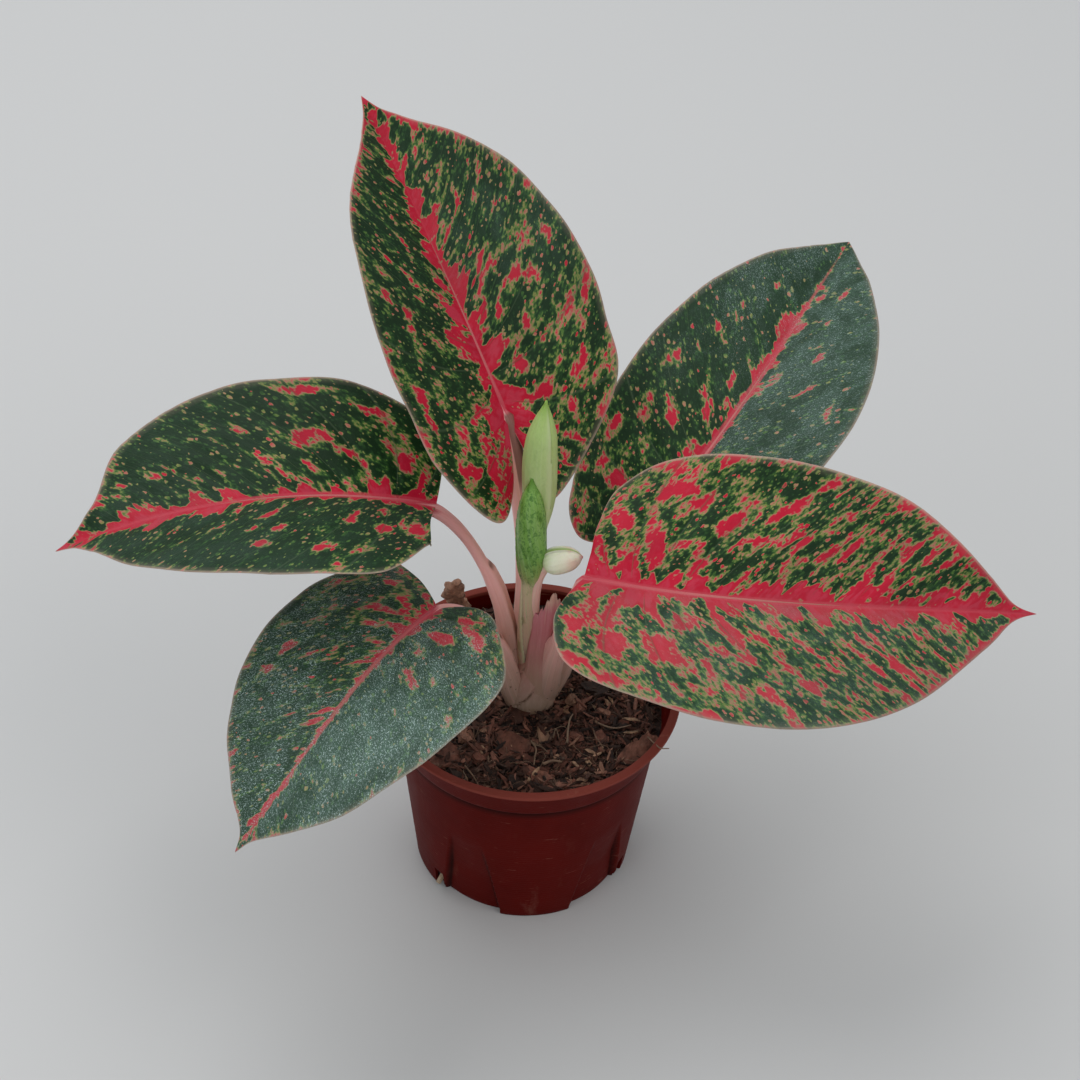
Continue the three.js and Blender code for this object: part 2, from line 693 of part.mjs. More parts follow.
// Chips that show in front: length, width, thickness; x, y; tilt.
const namedChips = [
  [[20, 11, 3], [38, -19], [12, -14, 35]],
  [[13, 8, 2.5], [-30, -24], [10, 16, 20]],
  [[7, 6, 4], [-17, -12], [20, 10, 50]],
  [[11, 4.5, 2.2], [22, 4], [8, 12, 5]],
  [[6, 4.5, 3.5], [16, -2], [30, 20, 80]],
  [[15, 5, 2], [13, -34], [-8, 10, 12]],
  [[12, 9, 2.5], [-12, -20], [14, 12, -30]],
];

function makeSoil(plantHole, chipHole) {
  const random = randomSource(soil.seed);
  const within = (range) => mix(...range, random());
  const pieces = [];
  const bed = (size, x, y, tilt) => {
    pieces.push(makeChip(size, [x, y, soilHeight(x, y) + soil.chipProud * size[2]], tilt, random));
  };
  for (const [size, [x, y], tilt] of namedChips) {
    bed(size, x, y, tilt);
  }
  for (let k = 0; k < soil.chips; k += 1) {
    const place = aroundAxis(mix(...soil.chipReach, Math.sqrt(random())), 360 * random(), 0);
    const size = [within(soil.chipLength), within(soil.chipWidth), within(soil.chipThickness)];
    bed(size, place.x, place.y, [within(soil.chipTilt), within(soil.chipTilt), 360 * random()]);
  }
  for (let k = 0; k < soil.fibres; k += 1) {
    pieces.push(makeFibre(within));
  }
  let solid = makeSoilBody();
  for (const piece of pieces) {
    solid = solid.add(piece);
  }
  return largestBody(solid.intersect(makeRoom()).subtract(plantHole).subtract(chipHole));
}

// Root fibre that arches out of the soil and back into it.
function makeFibre(within) {
  const start = aroundAxis(within(soil.fibreReach), within([0, 360]), 0);
  const end = start.clone().add(aroundAxis(within(soil.fibreSpan), within([0, 360]), 0));
  const middle = start.clone().lerp(end, 0.5).add(aroundAxis(within([0, 2]), within([0, 360]), 0));
  start.setZ(soilHeight(start.x, start.y) - soil.fibreSunk);
  middle.setZ(soilHeight(middle.x, middle.y) + within(soil.fibreRise));
  end.setZ(soilHeight(end.x, end.y) - soil.fibreSunk);
  const route = new THREE.CatmullRomCurve3([start, middle, end]);
  return sweptBody(route, new THREE.Vector3(0.1, 0.2, 1).normalize(), () => soil.fibreRadius, 3, 5);
}

const uprightChip = { size: [25, 8, 3.5], place: [-28.4, 37.2, 84], tilt: [6, -85, 62] };

function makeUprightChip(grow) {
  const size = uprightChip.size.map((length) => length + 2 * grow);
  return makeChip(size, uprightChip.place, uprightChip.tilt, randomSource(77));
}

// ---------------------------------------------------------------- assembly

const plant = new THREE.Group();

function addNode(name, geometry, material) {
  geometry.computeVertexNormals();
  const mesh = new THREE.Mesh(geometry, material);
  mesh.name = name;
  plant.add(mesh);
}

// Each piece is cut clear of those inside it: stalks in the middle first, outer leaf bases last.
function assemble() {
  addNode('pot', makePot(), finishes.pot);

  const wholeCrown = makeCrown(0);
  addNode('crown', toGeometry(wholeCrown), finishes.crown);
  let taken = makeCrown(gap);

  const shootFinishes = {
    young_leaf: finishes.youngLeaf, spathe: finishes.spathe, spathe_bud: finishes.bud,
  };
  for (const [name, spec] of Object.entries(shoots)) {
    addNode(name, toGeometry(largestBody(makeShoot(spec, 0).subtract(taken))), shootFinishes[name]);
    taken = taken.add(makeShoot(spec, gap));
  }

  addNode('torn_sheath', toGeometry(largestBody(makeSheath().subtract(taken))), finishes.sheath);
  taken = taken.add(sheathEnvelope());

  const leafFinishes = { leaf_back: finishes.darkLeaf, leaf_front: finishes.darkLeaf };
  for (const [name, spec] of Object.entries(leaves)) {
    const whole = makeStalk(spec, 0).subtract(taken).add(makeBlade(spec));
    addNode(name, toGeometry(largestBody(whole)), leafFinishes[name] ?? finishes.redLeaf);
    taken = taken.add(makeStalk(spec, gap));
  }

  addNode('bark_chip', toGeometry(makeUprightChip(0)), finishes.bark);
  addNode('soil', toGeometry(makeSoil(taken, makeUprightChip(gap))), finishes.soil);
}

assemble();

export default plant;
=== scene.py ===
import math

import bmesh
import bpy
import numpy as np
from mathutils import Matrix


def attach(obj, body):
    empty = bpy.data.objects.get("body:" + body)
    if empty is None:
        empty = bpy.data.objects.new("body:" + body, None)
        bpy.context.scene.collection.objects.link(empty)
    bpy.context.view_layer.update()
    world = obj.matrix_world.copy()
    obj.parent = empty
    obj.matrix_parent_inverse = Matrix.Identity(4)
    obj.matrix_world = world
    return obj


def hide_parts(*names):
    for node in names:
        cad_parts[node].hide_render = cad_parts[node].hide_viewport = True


# Potted chinese evergreen. Shapes are worked out in millimetres, and meshOf() turns them to metres.
# The plant's front is at -Y.

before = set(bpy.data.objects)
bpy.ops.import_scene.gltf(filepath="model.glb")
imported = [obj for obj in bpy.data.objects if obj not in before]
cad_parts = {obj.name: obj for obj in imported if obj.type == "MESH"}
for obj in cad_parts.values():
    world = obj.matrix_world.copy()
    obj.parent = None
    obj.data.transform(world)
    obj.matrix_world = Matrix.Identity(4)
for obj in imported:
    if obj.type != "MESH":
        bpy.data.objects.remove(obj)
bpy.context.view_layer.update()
mm = 0.001
body = "root"
print("frame loaded")


# node helpers: a value may be a number, a colour or another node's output

def newMaterial(name):
    material = bpy.data.materials.new(name)
    material.use_nodes = True
    return material, material.node_tree, material.node_tree.nodes["Principled BSDF"]


def join(tree, value, socket):
    if isinstance(value, bpy.types.NodeSocket):
        tree.links.new(value, socket)
    else:
        socket.default_value = value


def addNode(tree, kind, settings=None, **inputs):
    # an input's name has _ for a space, and i0, i1 and so on are inputs by number
    made = tree.nodes.new(kind)
    for name, value in (settings or {}).items():
        setattr(made, name, value)
    for name, value in inputs.items():
        key = int(name[1:]) if name[1:].isdigit() else name.replace("_", " ")
        join(tree, value, made.inputs[key])
    return made


def calc(tree, operation, a, b=0.0, c=0.0):
    return addNode(tree, "ShaderNodeMath", {"operation": operation}, i0=a, i1=b, i2=c).outputs[0]


def times(tree, a, b):
    return calc(tree, "MULTIPLY", a, b)


def timesPlus(tree, a, b, c):
    return calc(tree, "MULTIPLY_ADD", a, b, c)


def vectorCalc(tree, operation, a, b):
    return addNode(tree, "ShaderNodeVectorMath", {"operation": operation}, i0=a, i1=b).outputs[0]


def scaled(tree, vector, amount):
    return addNode(tree, "ShaderNodeVectorMath", {"operation": "SCALE"}, i0=vector, Scale=amount).outputs[0]


def vectorOf(tree, **parts):
    return addNode(tree, "ShaderNodeCombineXYZ", **parts).outputs[0]


def partsOf(tree, vector):
    return addNode(tree, "ShaderNodeSeparateXYZ", Vector=vector).outputs


def objectCoordinates(tree):
    return addNode(tree, "ShaderNodeTexCoord").outputs["Object"]


def uvOf(tree, name):
    return addNode(tree, "ShaderNodeUVMap", {"uv_map": name}).outputs[0]


def numberOf(tree, name):
    return addNode(tree, "ShaderNodeAttribute", {"attribute_name": name}).outputs["Fac"]


def stretched(tree, vector, scale, shift=(0, 0, 0)):
    return addNode(tree, "ShaderNodeMapping", Vector=vector, Scale=scale, Location=shift).outputs[0]


def noiseOf(tree, vector, scale=1.0, detail=2.0, roughness=0.5, distortion=0.0):
    return addNode(tree, "ShaderNodeTexNoise", Vector=vector, Scale=scale, Detail=detail,
                   Roughness=roughness, Distortion=distortion).outputs[0]


def spread(tree, value, low, high, toLow=0.0, toHigh=1.0):
    made = addNode(tree, "ShaderNodeMapRange", {"interpolation_type": "SMOOTHSTEP"}, Value=value,
                   From_Min=low, From_Max=high, To_Min=toLow, To_Max=toHigh)
    return made.outputs[0]


def colorRamp(tree, value, stops):
    made = addNode(tree, "ShaderNodeValToRGB", Fac=value)
    for k, (place, color) in enumerate(stops):
        stop = made.color_ramp.elements[k] if k < 2 else made.color_ramp.elements.new(place)
        stop.position = place
        stop.color = (*color, 1)
    return made.outputs[0]


def blendColor(tree, share, a, b, way="MIX"):
    b = (*b, 1) if isinstance(b, tuple) else b
    made = addNode(tree, "ShaderNodeMix", {"data_type": "RGBA", "blend_type": way}, i0=share, i6=a, i7=b)
    return made.outputs[2]


def shaded(tree, paint, by):
    return blendColor(tree, 1.0, paint, by, "MULTIPLY")


def tint(tree, paint, value, span, share, color):
    # lays a colour on as the value goes over the span, up to the share
    return blendColor(tree, spread(tree, value, *span, 0, share), paint, color)


def glaze(tree, paint, value, share, color):
    return blendColor(tree, times(tree, value, share), paint, color)


def finishSkin(tree, shader, paint, roughness, specular=None, through=None, height=None, relief=None):
    # through: how much light goes into it and how deep, in metres; relief: depth in metres and strength
    join(tree, paint, shader.inputs["Base Color"])
    join(tree, roughness, shader.inputs["Roughness"])
    if specular is not None:
        shader.inputs["Specular IOR Level"].default_value = specular
    if through is not None:
        shader.inputs["Subsurface Weight"].default_value = through[0]
        shader.inputs["Subsurface Radius"].default_value = through[1]
        shader.inputs["Subsurface Scale"].default_value = 0.6
    if height is not None:
        made = addNode(tree, "ShaderNodeBump", Height=height, Distance=relief[0], Strength=relief[1])
        tree.links.new(made.outputs[0], shader.inputs["Normal"])


# mesh helpers

def addObject(name, data):
    made = bpy.data.objects.new(name, data)
    bpy.context.scene.collection.objects.link(made)
    return made


def turnTo(made, right, up, back, place):
    matrix = np.eye(4)
    matrix[:3] = np.stack([right, up, back, place], 1)
    made.matrix_world = Matrix(matrix.tolist())


def meshOf(name, points, faces):
    mesh = bpy.data.meshes.new(name)
    mesh.from_pydata((np.asarray(points, float) * mm).tolist(), [], faces)
    return mesh


def pieceFrom(name, points, faces, materials, kinds=None, uvs=None, numbers=None, smooth=True):
    # kinds: each face's material; uvs and numbers: what the paint reads, by name, for each point
    mesh = meshOf(name, points, faces)
    for material in materials:
        mesh.materials.append(material)
    if kinds is not None:
        mesh.polygons.foreach_set("material_index", np.asarray(kinds, dtype=np.int32))
    mesh.polygons.foreach_set("use_smooth", np.full(len(mesh.polygons), smooth))
    corners = np.zeros(len(mesh.loops), np.int32)
    mesh.loops.foreach_get("vertex_index", corners)
    for title, values in (uvs or {}).items():
        layer = mesh.uv_layers.new(name=title)
        layer.data.foreach_set("uv", np.asarray(values, np.float32)[corners].ravel())
    for title, values in (numbers or {}).items():
        attribute = mesh.attributes.new(title, "FLOAT", "POINT")
        attribute.data.foreach_set("value", np.asarray(values, np.float32))
    mesh.update()
    return addObject(name, mesh)


def declare(piece, node=None):
    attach(piece, body)
    if node:
        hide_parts(node)


def bakeModifiers(piece):
    bpy.context.view_layer.update()
    graph = bpy.context.evaluated_depsgraph_get()
    mesh = bpy.data.meshes.new_from_object(piece.evaluated_get(graph), depsgraph=graph)
    piece.modifiers.clear()
    piece.data = mesh


def smoothstep(x, low=0.0, high=1.0):
    t = np.clip((np.asarray(x, float) - low) / (high - low), 0, 1)
    return t * t * (3 - 2 * t)


def mix(a, b, t):
    return a + (b - a) * t


def swell(x, middle, width):
    # 1 at the middle, falling off to both sides
    return np.exp(-((x - middle) / width) ** 2)


def profileAt(values, t):
    # smoothed value of a list at t between 0 and 1
    place = np.clip(t, 0, 1) * (len(values) - 1)
    low = np.minimum(np.floor(place).astype(int), len(values) - 2)
    values = np.asarray(values, float)
    return mix(values[low], values[low + 1], smoothstep(place - low))


def catmullRom(points, t):
    # uniform spline through points, t between 0 and 1
    points = np.asarray(points, float)
    last = len(points) - 1
    place = np.clip(t, 0, 1) * last
    i = np.minimum(place.astype(int), last - 1)
    w = (place - i)[..., None]
    before, here = points[np.maximum(i - 1, 0)], points[i]
    there, after = points[i + 1], points[np.minimum(i + 2, last)]
    v0, v1 = (there - before) / 2, (after - here) / 2
    return ((2 * here - 2 * there + v0 + v1) * w ** 3
            + (-3 * here + 3 * there - 2 * v0 - v1) * w ** 2 + v0 * w + here)


def centripetal(points, steps):
    # spline whose speed follows the square root of each span, at evenly spread steps
    points = np.asarray(points, float)
    points = np.concatenate([[2 * points[0] - points[1]], points, [2 * points[-1] - points[-2]]])
    step = np.sqrt(np.linalg.norm(np.diff(points, axis=0), axis=1))[:, None]
    place = np.linspace(0, 1, steps) * (len(points) - 3)
    i = np.minimum(place.astype(int), len(points) - 4)
    w = (place - i)[:, None]
    a, b, c, d = points[i], points[i + 1], points[i + 2], points[i + 3]
    s0, s1, s2 = step[i], step[i + 1], step[i + 2]
    v1 = ((b - a) / s0 - (c - a) / (s0 + s1) + (c - b) / s1) * s1
    v2 = ((c - b) / s1 - (d - b) / (s1 + s2) + (d - c) / s2) * s1
    return (2 * b - 2 * c + v1 + v2) * w ** 3 + (-3 * b + 3 * c - 2 * v1 - v2) * w ** 2 + v1 * w + b


def unit(v):
    return v / np.linalg.norm(v, axis=-1, keepdims=True)


def ring(radius, angle, z, middle=(0, 0)):
    # points round the z axis
    x, y = middle[0] + radius * np.cos(angle), middle[1] + radius * np.sin(angle)
    return np.stack([x, y, 0 * angle + z], -1)


def tubeFaces(rings, sides):
    faces = []
    for i in range(rings - 1):
        for k in range(sides):
            a, b = i * sides + k, i * sides + (k + 1) % sides
            faces.append((a, b, b + sides, a + sides))
    return faces


def closedTube(rings, sides):
    # the two points after the last ring close its foot and its head
    faces = tubeFaces(rings, sides)
    first = rings * sides
    for k in range(sides):
        after = (k + 1) % sides
        faces.append((first, after, k))
        faces.append((first + 1, first - sides + k, first - sides + after))
    return faces


def sweep(route, outward, radiusAt, sides):
    # a closed tube round a route: angle 0 faces outward; tags hold each point's share round and along
    steps = len(route)
    along = unit(np.gradient(route, axis=0))
    out = unit(outward - along * (along @ outward)[:, None])
    side = np.cross(along, out)
    t = np.linspace(0, 1, steps)[:, None]
    angle = np.linspace(0, 2 * np.pi, sides, endpoint=False)[None, :]
    radius = radiusAt(t, angle)
    points = (route[:, None] + out[:, None] * (radius * np.cos(angle))[..., None]
              + side[:, None] * (radius * np.sin(angle))[..., None])
    ends = [route[0] - along[0] * 0.2 * radius[0].mean(), route[-1] + along[-1] * 0.4 * radius[-1].mean()]
    around = np.broadcast_to(angle / (2 * np.pi), radius.shape)
    ahead = np.broadcast_to(t, radius.shape)
    tags = np.concatenate([np.stack([around, ahead], -1).reshape(-1, 2), [[0.5, 0], [0.5, 1]]])
    return np.concatenate([points.reshape(-1, 3), ends]), closedTube(steps, sides), tags


def joined(parts):
    # one list of points and one of faces from those of several parts
    points, faces, count = [], [], 0
    for made, its in parts:
        faces += [tuple(v + count for v in face) for face in its]
        points.append(made)
        count += len(made)
    return np.concatenate(points), faces


def bothSides(upper, lower):
    # quads over two grids of point numbers, the lower one turned over
    faces = []
    for k, grid in enumerate((upper, lower)):
        a, b, c, d = grid[:-1, :-1], grid[1:, :-1], grid[1:, 1:], grid[:-1, 1:]
        faces.append(np.stack([a, d, c, b] if k else [a, b, c, d], -1).reshape(-1, 4).tolist())
    return faces


# camera, light and floor

camera = {
    "place": (0.0, -0.7422, 0.8286),
    "pitch": 0.7389,        # below the horizon, in radians
    "heading": 0.0016,
    "roll": 0.0501,
    "lens": 96.9,
    "sensor": 36,
    "nearest": 0.02,
}
stage = {
    "floorSize": 6.0,
    "floorColor": (0.68, 0.67, 0.655, 1),
    "floorRoughness": 0.85,
    "skyColor": (0.9, 0.95, 1.0, 1),
    "skyStrength": 0.5,
    "lightsAim": (0.0, 0.0, 0.12),
    "softboxes": [
        # place, size, power, colour
        ((-0.45, 0.6, 1.6), 1.4, 10.5, (0.97, 0.985, 1.0)),
        ((0.8, -0.6, 1.5), 1.2, 4, (1.0, 0.97, 0.94)),
        ((-0.9, -0.9, 1.2), 1.0, 2.5, (0.97, 0.98, 1.0)),
    ],
}


def makeCamera():
    pitch, heading, roll = camera["pitch"], camera["heading"], camera["roll"]
    flat = math.cos(pitch)
    ahead = np.array([flat * math.sin(heading), flat * math.cos(heading), -math.sin(pitch)])
    level = np.array([math.cos(heading), -math.sin(heading), 0.0])
    above = np.cross(level, ahead)
    right = math.cos(roll) * level + math.sin(roll) * above
    up = -math.sin(roll) * level + math.cos(roll) * above
    data = bpy.data.cameras.new("camera")
    data.lens = camera["lens"]
    data.sensor_width = camera["sensor"]
    data.clip_start = camera["nearest"]
    made = addObject("camera", data)
    turnTo(made, right, up, -ahead, camera["place"])
    bpy.context.scene.camera = made


def makeStage():
    world = bpy.data.worlds.new("sky")
    bpy.context.scene.world = world
    world.use_nodes = True
    background = world.node_tree.nodes["Background"]
    background.inputs["Color"].default_value = stage["skyColor"]
    background.inputs["Strength"].default_value = stage["skyStrength"]
    for k, (place, size, power, color) in enumerate(stage["softboxes"]):
        data = bpy.data.lights.new(f"softbox{k}", "AREA")
        data.shape = "DISK"
        data.size = size
        data.energy = power
        data.color = color
        away = unit(np.array(place) - np.array(stage["lightsAim"]))
        side = unit(np.cross((0.0, 0.0, 1.0), away))
        turnTo(addObject(data.name, data), side, np.cross(away, side), away, place)
    half = stage["floorSize"] / 2 / mm
    corners = [(-half, -half, 0), (half, -half, 0), (half, half, 0), (-half, half, 0)]
    material, tree, shader = newMaterial("floorPaint")
    finishSkin(tree, shader, stage["floorColor"], stage["floorRoughness"])
    pieceFrom("floor", corners, [(0, 1, 2, 3)], [material], smooth=False)
    bpy.context.scene.view_settings.view_transform = "Standard"


# leaves

# The sheen pair: a bluish sky reflection painted into each half's colour, from base to tip.
# foot, bend1, bend2: control points of the stalk; base: where the blade begins.
# heading, rise, roll: of the midrib at its base and tip; bow: its sideways bend.
# wave: height, number and phase of the edge's waves; drawn: how far the tip is drawn out; relief: factor
# on that of the veins; stalk: its own radii; shade side: where round the stalk the side painted brown as
# shade begins.
# Pairs hold the left half's value and then the right half's.
# patches: where the red gathers: along the midrib (0 to 1), across in mm, reach along and over the veins.
leaves = {
    "leaf_top": {
        "foot": [-2.5, 7.5, 67], "bend1": [-3, 10, 110], "bend2": [-2.8, 20, 150],
        "base": [-12.3, 27.7, 184], "length": 120, "halfWidth": [49, 50], "heading": [132, 133],
        "bow": 1.5, "rise": [51.5, 46], "roll": [1, 9], "fold": [19, 18], "droop": [1.6, 1.5],
        "lobe": [0.25, 0.27], "lobeWidth": [1.05, 0.26], "shoulder": [0.87, 0.82], "shift": [0.01, -0.01],
        "tip": 0.84, "drawn": 0.6, "wave": [1.2, 4, 0.4], "seed": 3, "tipRed": 0.25, "edgeRed": 0.3,
        "stalk": [4.8, 4.7, 4.0, 3.1, 2.8, 3.2, 3.9, 3.7],
        # this leaf's stalk is painted brown as shade down one side, from here round
        "paintedShadeSide": [0.43, 0.47],
        "red": ([-0.05, -0.10, -0.13, -0.13, -0.10], [-0.04, -0.07, -0.10, -0.10, -0.08]),
        "band": [5, 2.4, 4.4, 5, 4, 3, 2.6, 2.2, 1.6],
        "rib": [0.9, 0.5, 0.4, 0.3, 0.2], "dust": 0.1, "gloss": 0.38,
        "paintedSheen": ([0, 0.02, 0.06, 0.08, 0.05], [0, 0.1, 0.3, 0.15, 0.05]),
        "patches": [
            (-0.2, -18, 8, 6), (-0.12, -14, 10, 6), (-0.04, -11, 9, 6), (-0.05, -3.5, 4, 4),
            (-0.12, -7, 4.5, 4.5), (-0.17, -11, 5, 5), (0, -13, 5, 3), (0.04, -13, 6, 2),
            (-0.1, -27, 4, 2), (-0.08, -33, 2.5, 2), (0.12, -5, 3, 2), (0.2, -4, 3, 4),
            (0.25, -9, 5, 3.4), (0.29, -12, 3, 2), (0.33, -5, 4, 4), (0.4, -10, 7, 3), (0.44, -6, 4, 3),
            (0.46, -37, 2.2, 2.2), (0.39, -30, 2, 2.2), (0.35, -31, 2, 1.8), (0.14, -39, 2, 3),
            (0.56, -28, 2, 2), (0.58, -16, 2, 2), (0.62, -11, 2, 2), (0.47, -20, 2.2, 1.8),
            (0.52, -14, 2.2, 1.6), (0.03, 13, 8, 2), (0.01, 4, 3, 3), (0.13, 11, 2.8, 2), (0.2, 6, 3, 3),
            (0.28, 13, 3.2, 1.8), (0.3, 7, 4, 1.6), (0.355, 8, 5, 2.4), (0.4, 17, 3, 1.7),
            (0.44, 14, 4, 2), (0.37, 25, 2.6, 2.8), (0.35, 30, 2, 1.8), (0.62, 15, 1.8, 3.6),
            (0.55, 7, 5, 1.5), (0.63, 6, 2, 2), (0.71, 9, 2, 2), (0.78, 4, 3, 2), (0.22, 20, 2, 1.6),
            (0.08, 34, 2, 2), (0.02, 28, 2, 2), (0.45, 40, 2, 2),
        ],
    },
    "leaf_right": {
        "foot": [5.2, 1.6, 67], "bend1": [7.4, -1.8, 100], "bend2": [12.5, -12, 132],
        "base": [16.8, -16.4, 151], "length": 157.5, "halfWidth": [51.5, 50], "heading": [-12, 6],
        "bow": 5.8, "rise": [-0.5, -6], "roll": [10, 51], "fold": [9, 12], "droop": [1.1, 0.9],
        "lobe": [0, 0.03], "lobeWidth": [0.85, 1], "shoulder": [0.73, 0.85], "shift": [-0.01, -0.02],
        "tip": 0.86, "drawn": 1, "wave": [1.3, 4, 2.1], "seed": 11,
        "relief": 1.7, "tipRed": 0.25, "edgeRed": 0.3,
        "red": ([0.02, -0.02, -0.03, -0.01, -0.01], [0.03, 0.0, -0.02, -0.03, -0.02]),
        "band": [4, 4, 3, 3.4, 3.8, 3.8, 3.6, 2.8, 2.2],
        "rib": [1.5, 1.1, 0.9, 0.7, 0.4], "dust": 0.1, "gloss": 0.4,
        "paintedSheen": ([0, 0, 0.06, 0.1, 0.1], [0.3, 0.5, 0.5, 0.4, 0.3]),
        "patches": [
            (0.02, -10, 9, 2.6), (0.1, -9, 8, 2.2), (0.14, -14, 9, 2), (0.17, -38, 3, 4),
            (0.31, -25, 5, 3), (0.38, -20, 3, 2), (0.46, -20, 8, 2.6), (0.53, -17, 5, 3.6),
            (0.6, -22, 8, 2.6), (0.7, -21, 2.2, 5), (0.8, -6, 2.2, 6), (0.43, -32, 5, 2),
            (0.25, -10, 3, 2), (0.05, -24, 5, 2), (0.33, -4, 4, 4), (0.42, -3, 3, 4), (0.5, -3.5, 3, 5),
            (0.58, -5, 4, 4), (0.64, -6, 6, 4), (0.03, 9, 9, 2.6), (0.08, 14, 12, 1.8), (0.1, 6, 5, 3),
            (0.1, 27, 7, 2), (0.19, 26, 8, 3), (0.21, 14, 3, 2), (0.3, 10, 10, 1.3), (0.35, 22, 5, 1.5),
            (0.365, 15, 5, 4.6), (0.45, 4, 3, 4), (0.57, 5, 3, 4), (0.62, 15, 6, 1.8), (0.67, 22, 3, 3),
            (0.74, 22, 3, 2), (0.5, 32, 2.4, 3), (0.45, 24, 3, 2), (0.83, 12, 3, 2), (0.4, 36, 4, 2),
            (0.02, 22, 4, 3), (0.86, -3, 3, 5),
        ],
    },
    "leaf_left": {
        "foot": [-5, 4, 67], "bend1": [-6, 4, 112], "bend2": [-20, 5, 150], "base": [-35.2, 5.7, 160.6],
        "length": 134.5, "halfWidth": [47, 48], "heading": [185.5, 187], "bow": 3, "rise": [16, -27],
        "roll": [-5, -1], "fold": [16, 16], "droop": [3.5, 0.7], "lobe": [-0.03, 0.01],
        "lobeWidth": [1.08, 1.06], "shoulder": [0.55, 0.65], "shift": [0, 0.05], "tip": 0.76, "drawn": 0.7,
        "wave": [1.2, 4, 4.2], "seed": 23, "tipRed": 0.25, "edgeRed": 0.2, "sheathEnd": 0.6,
        "stalk": [4.8, 4.7, 3.8, 2.7, 2.1, 2.05, 2.25, 2.5],
        "red": ([-0.08, -0.16, -0.2, -0.2, -0.14], [-0.08, -0.13, -0.17, -0.18, -0.14]),
        "band": [2.6, 2.2, 1.8, 2, 2.8, 4.2, 4.2, 2.8, 2],
        "rib": [1.8, 1.4, 1.0, 0.6, 0.3], "dust": 0.15, "gloss": 0.38,
        "paintedSheen": ([0.02, 0.12, 0.22, 0.26, 0.2], [0, 0.02, 0.1, 0.18, 0.15]),
        "patches": [
            (0.06, -19, 7, 1.6), (0.15, -21, 4.2, 1.6), (0.225, -14, 5, 1.6), (0.32, -33, 2.6, 1.2),
            (0.42, -22, 5, 2), (0.46, -29, 2.6, 1.8), (0.48, -20, 2.2, 2.2), (0.44, -12, 4, 2.6),
            (0.51, -7, 3, 1.8), (0.566, -16, 4, 1.6), (0.67, -12, 3, 2.2), (0.575, -3, 3.4, 5),
            (0.66, -1, 4, 7), (0.74, -1, 4.4, 6), (0.73, -6, 2.6, 2.6), (0.8, 0, 3.4, 5),
            (0.15, 4.5, 4, 4), (0.237, 17, 3.2, 2.4), (0.32, 11, 3.6, 2.2), (0.31, 23, 4, 4),
            (0.42, 14, 6, 2.8), (0.38, 8, 4, 1.8), (0.7, 16, 2.4, 2.4), (0.566, 31, 1.8, 2),
            (0.6, 11, 2.6, 1.6), (0.08, 15, 5, 1.8), (0.17, 34, 2, 2), (0.3, 43, 2, 2.4),
            (0.49, 28, 2, 1.6), (0.8, 16, 2, 2), (0.03, 10, 6, 2), (0.33, 2, 3, 3), (0.39, 2, 3, 3),
        ],
    },
    "leaf_back": {
        "foot": [7, 7, 67], "bend1": [13, 8.5, 95], "bend2": [26, 12, 125], "base": [36.7, 16.4, 141],
        "length": 150, "halfWidth": [45, 45], "heading": [46, 65], "bow": 3.8, "rise": [31, 4],
        "roll": [-11.5, 12.5], "fold": [12.5, 12.5], "droop": [4.2, 3], "lobe": [0.08, 0.08],
        "lobeWidth": [1, 1], "shoulder": [0.82, 0.8], "shift": [0.01, -0.01], "tip": 1.03, "drawn": 0,
        "wave": [1.1, 4, 1.2], "seed": 37, "tipRed": 0.05, "edgeRed": 0.05,
        "red": ([-0.06, -0.11, -0.17, -0.22, -0.24], [-0.08, -0.18, -0.24, -0.25, -0.24]),
        "band": [1.6, 2, 1.9, 1.5, 1.9, 3, 1.4, 0.8, 0.6],
        "rib": [1.3, 1.5, 1.2, 0.5, 0.2], "dust": 0.5, "gloss": 0.46,
        "paintedSheen": ([0.0, 0.04, 0.2, 0.45, 0.6], [0.3, 0.6, 0.75, 0.8, 0.8]),
        "patches": [
            (0.086, -22, 6, 2.4), (0.3, -19, 3.4, 2), (0.34, -24, 2.6, 1.8), (0.39, -13.6, 3.6, 2),
            (0.57, -24, 2.4, 3), (0.66, -20, 1.6, 2.4), (0.45, -31, 2, 1.5), (0.25, -5, 3, 4.4),
            (0.46, -8, 2.6, 3.6), (0.67, -2.5, 4, 6), (0.58, -1, 2.4, 5), (0.505, 6, 3, 4.4),
            (0.6, 16, 2.2, 3), (0.71, 11, 2.2, 2.2), (0.68, 3, 2, 3), (0.79, 3, 1.8, 5),
            (0.82, 10, 1.7, 4), (0.47, 32, 2, 4.4), (0.49, 19, 3.6, 2), (0.36, -9, 2.6, 4),
            (0.39, -5, 2, 3), (-0.04, 18, 6, 4), (0.2, -36, 3, 2), (0.26, -29, 2.6, 2),
            (0.17, -27, 3, 1.8), (-0.02, -26, 4, 2), (0.75, -13, 1.6, 2.6),
        ],
    },
    "leaf_front": {
        "foot": [-4.8, 0.3, 67], "bend1": [-10, -3.4, 106], "bend2": [-22, -8, 129.5],
        "base": [-32.9, -16, 132.8], "length": 118, "halfWidth": [43.5, 44], "heading": [235.5, 225.5],
        "bow": 8.6, "rise": [12, -39.5], "roll": [-2, 15.5], "fold": [7, 5], "droop": [4.6, 5.1],
        "lobe": [0.08, 0.09], "lobeWidth": [0.71, 1.6], "shoulder": [0.64, 0.79], "shift": [0.02, 0.01],
        "tip": 1.03, "drawn": 0.8, "wave": [1, 4, 5.2], "seed": 51, "tipRed": 0.16, "edgeRed": 0.12,
        "red": ([-0.09, -0.16, -0.2, -0.2, -0.18], [-0.05, -0.1, -0.14, -0.17, -0.16]),
        "band": [2.3, 1.9, 1.5, 1.2, 1.0, 0.9, 1.0, 1.2, 1.0],
        "rib": [1.5, 1.0, 0.8, 0.5, 0.2], "dust": 1.0, "gloss": 0.44,
